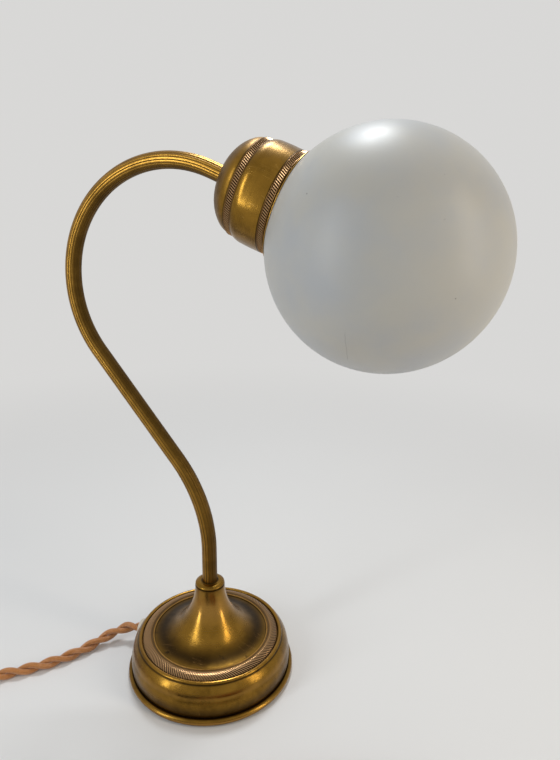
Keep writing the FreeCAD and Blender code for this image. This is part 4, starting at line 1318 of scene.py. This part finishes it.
    def build(self) -> None:
        """Builds the five pieces and hands them over."""
        seams = tuple((r, -q, 0.9, 0.9) for r, q in ((28.9, self.belly), (28.9, self.front), (27.9, self.rear)))
        # Dirt and painted shade at the drum's seams, and wear with a painted highlight on the lip's edge.
        plain = self.brass("gallery_brass", patina=0.58, scratches=0.5, creases=seams,
                           polished=((self.lip_r, -self.mouth, 0.7, 0.7),))
        # Dirt and painted shade in the joints at the dome's edge and round the tube, and a broad band of painted
        # shade over the dome.
        darkening = ((27.1, -self.dome, 1.6, 0.9), (5.4, -self.apex, 1.8, 0.95), (22.0, -92.0, 9.0, 0.4))
        dome = self.brass("dome_brass", patina=0.75, scratches=0.2, roughness=0.33, creases=darkening)
        rear, front = (self.milled_brass(place, q) for place, q in (("rear", self.dome), ("front", self.belly)))
        pieces = (
            (self.cap(), "gallery_cap", "gallery_brass", dome),
            (self.ring("rear_milled_band", self.dome, self.rear_ring_r), "rear_milled_ring", "milled_brass", rear),
            (self.drum(), "gallery_drum", "gallery_brass", plain),
            (self.ring("front_milled_band", self.belly, self.ring_r), "front_milled_ring", "milled_brass", front),
            (self.lip(), "gallery_lip", "gallery_brass", plain),
        )
        for made, node, slot, finish in pieces:
            install(settle(made, self.place), "lamp", [node], finish)


@dataclass
class OpalGlobe:
    """The blown globe with the straight neck that the spring ring grips."""

    gallery: Gallery
    wall: float = 2.6
    neck_r: float = 25.3
    neck_wall: float = 2.3
    neck_length: float = 16.0
    shoulder_r: float = 1.5
    glass: OpalGlass = OpalGlass()

    def build(self) -> None:
        """Turns the closed section of the glass and hands it over."""
        radius = self.gallery.globe_r
        inner = radius - self.wall
        bore = self.neck_r - self.neck_wall
        mid_r = self.neck_r + self.shoulder_r
        mid_q = math.sqrt((radius + self.shoulder_r) ** 2 - mid_r ** 2)
        share = radius / (radius + self.shoulder_r)
        half = (math.pi + math.atan2(mid_q, mid_r)) / 2
        end_q = mid_q + self.neck_length
        shoulder = (mid_r + self.shoulder_r * math.cos(half), -(mid_q - self.shoulder_r * math.sin(half)))
        s = Section(0.0, radius).arc((radius, 0.0), (mid_r * share, -mid_q * share), 80)
        s.arc(shoulder, (self.neck_r, -mid_q), 4)
        s.to((self.neck_r, -end_q + 0.5)).arc((self.neck_r - 0.5, -end_q + 0.1), (self.neck_r - 1.1, -end_q), 3)
        s.to((bore + 0.4, -end_q), (bore, -end_q + 0.4), (bore, -math.sqrt(inner ** 2 - bore ** 2)))
        s.arc((inner, 0.0), (0.0, inner), 48)
        made = settle(turn_section("opal_globe", s, 160), self.gallery.place)
        install(made, "globe", ["globe"], self.glass.material())


@dataclass
class Flex:
    """Twisted two-core textile flex: from the bush to the switch, and on to the coil and the plug."""

    core_r: float = 1.9
    cord_r: float = 3.8
    twist: float = 28.4
    first_turn: float = 0.41
    start: Place = (-57.6, 0.0, 13.0)
    heading: Point = (0.9976, -0.0698)
    mouth: Place = (3.0, -166.5, 8.0)
    switch_l: float = 58.0
    switch_lead: float = 12.0
    coil_r: float = 50.0
    coil_pitch: float = 8.4
    coil_half_turns: int = 5
    coil_climb: float = 8.2
    coil_lead: float = 8.0
    coil_run_out: float = math.radians(34.0)
    run_to_coil: tuple[float, ...] = (10.0, 23.0, 34.0)
    run_to_plug: tuple[float, ...] = (14.0, 29.0, 46.0, 58.0)
    plug_h: float = 13.7
    on_floor: tuple[Place, ...] = (
        (-64.2, 0.0, 11.9), (-70.5, -2.5, 10.2), (-76.2, -6.8, 8.3), (-81.2, -12.6, 6.3), (-86.0, -20.4, 4.6),
        (-91.2, -29.6, 3.8), (-98.4, -40.2, 3.8), (-107.4, -50.8, 3.8), (-118.2, -60.4, 3.8),
        (-129.4, -69.8, 3.8), (-140.1, -81.9, 3.8), (-146.9, -98.2, 3.8), (-148.3, -117.0, 3.8),
        (-142.6, -135.2, 3.8), (-130.0, -149.6, 3.8), (-112.6, -158.8, 3.8), (-92.4, -161.6, 3.8),
        (-71.0, -160.2, 3.8), (-50.5, -161.0, 4.2), (-29.5, -163.6, 6.2),
    )
    textile: BraidedTextile = BraidedTextile()
    sides: int = 10
    ring_step: float = 1.25

    def ahead(self) -> Vector:
        """The heading on which the flex enters the switch and the coil."""
        return Vector((*self.heading, 0.0))

    def to_switch(self) -> list[Vector]:
        """Control points from the bush to the switch."""
        mouth = Vector(self.mouth)
        return [Vector(self.start), *map(Vector, self.on_floor), mouth - self.ahead() * self.switch_lead, mouth]

    def to_plug(self) -> list[Vector]:
        """Control points from the switch through the coil to the plug."""
        ahead = self.ahead()
        outlet = Vector(self.mouth) + ahead * self.switch_l
        first, low, start = (outlet + ahead * reach for reach in self.run_to_coil)
        low.z = start.z = self.cord_r
        turns, last, leaving = self.turns(start + ahead * self.coil_lead, ahead)
        points = [outlet, first, low, start, *turns]
        heights = (last.z, (last.z + self.plug_h) / 2 - self.cord_r / 2, self.plug_h / 2, self.plug_h / 2)
        for reach, height in zip(self.run_to_plug, heights):
            point = last + leaving * (self.coil_lead + reach)
            point.z = height
            points.append(point)
        return points

    def turns(self, start: Vector, ahead: Vector) -> tuple[list[Vector], Vector, Vector]:
        """Control points of the coil: half turns inwards on the floor, one that climbs, and outwards on top.

        Args:
            start: where the first half turn begins.
            ahead: the heading there.

        Returns:
            The points, sixteen to a turn, the coil's last point and the heading there.
        """
        inwards = [self.coil_r - self.coil_pitch / 2 * k for k in range(self.coil_half_turns)]
        climbing = self.coil_r - self.coil_pitch / 2 * self.coil_half_turns
        arcs = [(radius, math.pi, 0.0) for radius in inwards]
        arcs += [(climbing, math.pi, self.coil_climb)]
        arcs += [(radius, math.pi, 0.0) for radius in reversed(inwards)]
        arcs += [(self.coil_r + self.coil_pitch / 2, self.coil_run_out, 0.0)]
        points = []
        here = start
        for radius, angle, climb in arcs:
            centre = here + Vector((0, 0, 1)).cross(ahead) * radius
            steps = max(round(angle / math.radians(22.5)), 1)
            for k in range(steps):
                turn = angle * (k + 0.5) / steps
                spoke = Matrix.Rotation(turn, 3, "Z") @ (here - centre)
                point = centre + spoke / math.cos(angle / steps / 2)
                rise = (k + 0.5) / steps
                point.z = here.z + climb * rise * rise * (3 - 2 * rise)
                points.append(point)
            height = here.z + climb
            here = centre + Matrix.Rotation(angle, 3, "Z") @ (here - centre)
            here.z = height
            ahead = Matrix.Rotation(angle, 3, "Z") @ ahead
        return points, here, ahead

    @staticmethod
    def centreline(name: str, points: Sequence[Vector]) -> list[Vector]:
        """Lays a NURBS spline through its control points and reads its line.

        Args:
            name: a name for the helper curve.
            points: control points in millimetres.

        Returns:
            Close points along the line in metres.
        """
        curve = bpy.data.curves.new(name, "CURVE")
        curve.dimensions = "3D"
        curve.resolution_u = 12
        spline = curve.splines.new("NURBS")
        spline.points.add(len(points) - 1)
        for control, point in zip(spline.points, points):
            control.co = (*(point * MM), 1.0)
        spline.order_u = 3
        spline.use_endpoint_u = True
        holder = bpy.data.objects.new(name, curve)
        bpy.context.scene.collection.objects.link(holder)
        bpy.context.view_layer.update()
        mesh = bpy.data.meshes.new_from_object(holder.evaluated_get(bpy.context.evaluated_depsgraph_get()))
        line = [vertex.co.copy() for vertex in mesh.vertices]
        bpy.data.meshes.remove(mesh)
        bpy.data.objects.remove(holder)
        bpy.data.curves.remove(curve)
        return line

    def even_steps(self, line: Sequence[Vector]) -> list[Vector]:
        """The same line with points at equal distances.

        Args:
            line: points in metres.

        Returns:
            Points about one ring step apart.
        """
        lengths = travelled(line)
        count = max(int(lengths[-1] / (self.ring_step * MM)), 2)
        evened = []
        k = 0
        for n in range(count + 1):
            s = lengths[-1] * n / count
            while k < len(lengths) - 2 and lengths[k + 1] < s:
                k += 1
            share = (s - lengths[k]) / max(lengths[k + 1] - lengths[k], 1e-12)
            evened.append(line[k].lerp(line[k + 1], share))
        return evened

    def strands(self, name: str, line: Sequence[Vector]) -> bpy.types.Object:
        """Winds the two cores round the line as closed tubes with their own UV map.

        Args:
            name: the object's name.
            line: evenly spaced points in metres.

        Returns:
            One mesh with both cores.
        """
        verts: list[Vector] = []
        faces: list[tuple[int, ...]] = []
        uvs: list[Point] = []
        frames = carried_frames(line)
        for core in range(2):
            path = []
            for k, (point, (_, side, up)) in enumerate(zip(line, frames)):
                phase = math.tau * (k * self.ring_step / self.twist + self.first_turn) + math.pi * core
                path.append(point + (side * math.cos(phase) + up * math.sin(phase)) * (self.core_r * MM))
            self.tube(path, verts, faces, uvs)
        mesh = bpy.data.meshes.new(name)
        mesh.from_pydata(verts, [], faces)
        layer = mesh.uv_layers.new(name="yarn")
        for loop in mesh.loops:
            layer.data[loop.index].uv = uvs[loop.vertex_index]
        for polygon in mesh.polygons:
            polygon.use_smooth = len(polygon.vertices) == 4
        made = bpy.data.objects.new(name, mesh)
        bpy.context.scene.collection.objects.link(made)
        return made

    def tube(self, path: Sequence[Vector], verts: list[Vector], faces: list[tuple[int, ...]],
             uvs: list[Point]) -> None:
        """Adds one closed tube to the lists.

        Args:
            path: its centreline in metres.
            verts: vertices so far.
            faces: faces so far.
            uvs: turn and length of each vertex so far.
        """
        base = len(verts)
        columns = self.sides + 1
        for point, along, (_, side, up) in zip(path, travelled(path), carried_frames(path)):
            for n in range(columns):
                a = math.tau * n / self.sides
                verts.append(point + (side * math.cos(a) + up * math.sin(a)) * (self.core_r * MM))
                uvs.append((n / self.sides, along))
        for k in range(len(path) - 1):
            for n in range(self.sides):
                a = base + k * columns + n
                faces.append((a, a + 1, a + columns + 1, a + columns))
        faces.append(tuple(base + n for n in reversed(range(self.sides))))
        faces.append(tuple(base + (len(path) - 1) * columns + n for n in range(self.sides)))

    def build(self) -> None:
        finish = self.textile.material()
        switch = ("switch_base", "switch_cover", "switch_rocker", "switch_pin", "switch_screws")
        coiled = ("cord_run_switch", "cord_coil", "cord_run_plug")
        jobs = (
            ("flex_to_switch", self.to_switch(), ("cord_run_base",), "fitting", "loose", switch),
            ("flex_to_plug", self.to_plug(), coiled, "plug", "coiled", ("plug_body", "plug_pins")),
        )
        for name, points, nodes, far_end, lay, going_with in jobs:
            line = self.even_steps(self.centreline(name + "_line", points))
            length = travelled(line)[-1]
            made = self.strands(name, line)
            install(made, "lamp", nodes, finish)
            LOG.info("%s is %.3f m long", name, length)


def carried_frames(line: Sequence[Vector]) -> list[tuple[Vector, Vector, Vector]]:
    """Directions ahead, sideways and up along a line, carried without twist.

    Args:
        line: its points.

    Returns:
        Three unit vectors for each point.
    """
    frames = []
    last = len(line) - 1
    side = Vector((0, 0, 1)).cross((line[1] - line[0]).normalized()).normalized()
    for k in range(last + 1):
        ahead = (line[min(k + 1, last)] - line[max(k - 1, 0)]).normalized()
        side = (side - ahead * side.dot(ahead)).normalized()
        frames.append((ahead, side, ahead.cross(side)))
    return frames


@dataclass
class WallBush:
    """The white bush in the wall of the base."""

    face_x: float = -57.6
    z: float = 13.0
    nylon: PlainStuff = PlainStuff("white_nylon", (0.68, 0.63, 0.53), (0.52, 0.46, 0.36), 0.42, contrast=0.8)

    def build(self) -> None:
        """Turns the bush and hands it over."""
        s = Section(3.9, 0.35).arc((4.0, 0.1), (4.3, 0.0), 3).to((5.3, 0.0)).arc((6.05, 0.3), (6.3, 1.0), 6)
        s.to((6.3, 2.5), (6.2, 2.6), (4.9, 2.6), (4.9, 5.1), (5.35, 5.1), (4.45, 7.2), (3.9, 7.2)).close()
        made = turn_section("wall_bush", s, 64)
        place = Matrix.Translation(Vector((self.face_x, 0, self.z)) * MM) @ Matrix.Rotation(math.pi / 2, 4, "Y")
        install(settle(made, place), "lamp", ["cord_bush"], self.nylon.material())


class InnerParts:
    """Finishes of the CAD nodes that keep their own shape."""

    STUFFS: tuple[tuple[str, PlainStuff], ...] = (
        ("base_felt", PlainStuff("green_felt", (0.03, 0.06, 0.035), (0.06, 0.1, 0.06), 0.95, skin_scale=3000.0,
                                 skin_depth=0.2, contrast=0.6, sheen=0.6)),
        ("base_plate", PlainStuff("sheet_steel", (0.45, 0.44, 0.42), (0.3, 0.29, 0.27), 0.38, 1.0)),
        ("plate_screws tail_washer tail_nut cord_clamp clamp_screws gallery_washer gallery_nut switch_pin "
         "switch_screws", PlainStuff("turned_steel", (0.58, 0.56, 0.52), (0.4, 0.38, 0.34), 0.3, 1.0)),
        ("base_weight", PlainStuff("cast_iron", (0.06, 0.055, 0.05), (0.12, 0.07, 0.045), 0.75, 0.6,
                                   skin_scale=700.0, skin_depth=0.3)),
        ("globe_spring holder_shell holder_contact",
         PlainStuff("spring_strip", (0.65, 0.47, 0.2), (0.4, 0.26, 0.1), 0.28, 1.0)),
        ("inner_flex", PlainStuff("core_textile", (0.5, 0.28, 0.11), (0.3, 0.15, 0.05), 0.85, skin_scale=2500.0,
                                  skin_depth=0.2)),
        ("holder_cap holder_body",
         PlainStuff("white_porcelain", (0.82, 0.8, 0.74), (0.76, 0.73, 0.66), 0.22, coat=0.5)),
        ("bulb_body bulb_diffuser", PlainStuff("milky_plastic", (0.84, 0.84, 0.82), (0.8, 0.8, 0.78), 0.45)),
        ("bulb_cap bulb_contact", PlainStuff("cap_metal", (0.72, 0.72, 0.71), (0.55, 0.54, 0.52), 0.3, 1.0)),
        ("switch_base switch_cover switch_rocker plug_body",
         PlainStuff("dark_moulding", (0.028, 0.018, 0.013), (0.045, 0.028, 0.019), 0.32, skin_scale=1800.0,
                    coat=0.15, contrast=0.7)),
        ("plug_pins", PlainStuff("plated_pins", (0.7, 0.66, 0.58), (0.55, 0.5, 0.42), 0.22, 1.0)),
    )

    def build(self) -> None:
        """Dresses every node that stays."""
        for nodes, stuff in self.STUFFS:
            finish = stuff.material()
            for node in nodes.split():
                dress(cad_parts[node], finish)
            LOG.info("%s on %s, which keep their shape", stuff.name, nodes)


@dataclass
class Studio:
    """Camera at the photograph's place, pale floor and backdrop, and soft lamps."""

    eye: Place = (168.4, -325.5, 325.2)
    right: Place = (0.9366, 0.3501, 0.0159)
    ahead: Place = (-0.3299, 0.8962, -0.2968)
    lens: float = 29.37
    sensor: float = 36.0
    floor_size: float = 12.0
    floor_fade: Point = (0.2, 0.8)
    floor_colour: Colour = (0.77, 0.762, 0.75)
    floor_shade: Colour = (0.73, 0.725, 0.715)
    distance: Colour = (0.69, 0.685, 0.675)
    world_light: float = 0.38
    cool: Colour = (0.9, 0.95, 1.0)
    warm: Colour = (1.0, 0.9, 0.76)
    daylight: Colour = (1.0, 0.99, 0.975)
    softbox: Point = (240.0, 240.0)
    strip: Point = (120.0, 860.0)

    def build(self) -> None:
        """Sets the camera, the stage and the light."""
        self.camera()
        self.stage()
        self.world()
        self.lamp("ceiling_softbox", (-117.0, 407.0, 1064.0), (60.0, 0.0, 180.0), self.softbox, 4.8, self.cool)
        self.lamp("left_strip", (-458.0, -716.0, 450.0), (0.0, 0.0, 150.0), self.strip, 3.0, self.cool)
        self.lamp("right_strip", (850.0, -45.0, 450.0), (0.0, 0.0, 150.0), self.strip, 2.8, self.warm)

    def camera(self) -> None:
        """Places the camera."""
        data = bpy.data.cameras.new("camera")
        data.sensor_fit = "VERTICAL"
        data.sensor_height = self.sensor
        data.lens = self.lens
        data.clip_start = 0.01
        data.clip_end = 50.0
        made = bpy.data.objects.new("camera", data)
        x = Vector(self.right).normalized()
        z = -Vector(self.ahead)
        z = (z - x * z.dot(x)).normalized()
        turned = Matrix((x, z.cross(x), z)).transposed().to_4x4()
        made.matrix_world = Matrix.Translation(Vector(self.eye) * MM) @ turned
        bpy.context.scene.collection.objects.link(made)
        bpy.context.scene.camera = made

    def stage(self) -> None:
        """Adds the floor, which runs into the plain distance without an edge."""
        select_only(None)
        bpy.ops.mesh.primitive_plane_add(size=self.floor_size, location=(0, 0, 0))
        floor = bpy.context.object
        floor.name = "floor"
        bench = ShaderBench(bpy.data.materials.new("pale_floor"))
        place = bench.coordinates()
        tone = bench.noise(place, 3.0, 2.0).step(0.3, 0.7) * 0.3
        colour = bench.blend(tone, self.floor_colour, self.floor_shade)
        surface = bench.node("ShaderNodeBsdfPrincipled", {}, {"Base Color": colour, "Roughness": 0.75})
        far = bench.node("ShaderNodeEmission", {}, {"Color": (*self.distance, 1.0), "Strength": 1.0})
        away = bench.measure("LENGTH", place).step(*self.floor_fade)
        mixed = bench.node("ShaderNodeMixShader", {}, {0: away * bench.seen_directly(), 1: surface, 2: far})
        bench.node("ShaderNodeOutputMaterial", {}, {"Surface": mixed})
        dress(floor, bench.owner)

    def world(self) -> None:
        """A pale surrounding that the camera and the metal both see."""
        world = bpy.data.worlds.new("studio")
        bpy.context.scene.world = world
        bench = ShaderBench(world)
        light, seen = (
            bench.node("ShaderNodeBackground", {}, {"Color": (*colour, 1.0), "Strength": strength})
            for colour, strength in ((self.daylight, self.world_light), (self.distance, 1.0))
        )
        mixed = bench.node("ShaderNodeMixShader", {}, {0: bench.seen_directly(), 1: light, 2: seen})
        bench.node("ShaderNodeOutputWorld", {}, {"Surface": mixed})

    @staticmethod
    def lamp(name: str, place: Place, target: Place, size: Point, power: float, colour: Colour) -> None:
        """Adds one softbox.

        Args:
            name: its name.
            place: where it hangs, in millimetres.
            target: what it points at.
            size: its width and height in millimetres.
            power: watts.
            colour: its tint.
        """
        data = bpy.data.lights.new(name, "AREA")
        data.shape = "RECTANGLE"
        data.size, data.size_y = (side * MM for side in size)
        data.energy = power
        data.color = colour
        made = bpy.data.objects.new(name, data)
        turned = (Vector(place) - Vector(target)).to_track_quat("Z", "Y").to_matrix().to_4x4()
        made.matrix_world = Matrix.Translation(Vector(place) * MM) @ turned
        bpy.context.scene.collection.objects.link(made)


def main() -> None:
    """Builds the lamp piece by piece."""
    logging.basicConfig(level=logging.INFO, format="%(name)s: %(message)s")
    bpy.context.scene.view_settings.view_transform = "Standard"
    Studio().build()
    Flex().build()
    gallery = Gallery()
    SpunBase().build()
    SwanNeck().build()
    gallery.build()
    OpalGlobe(gallery).build()
    WallBush().build()
    InnerParts().build()


if __name__ == "__main__":
    main()
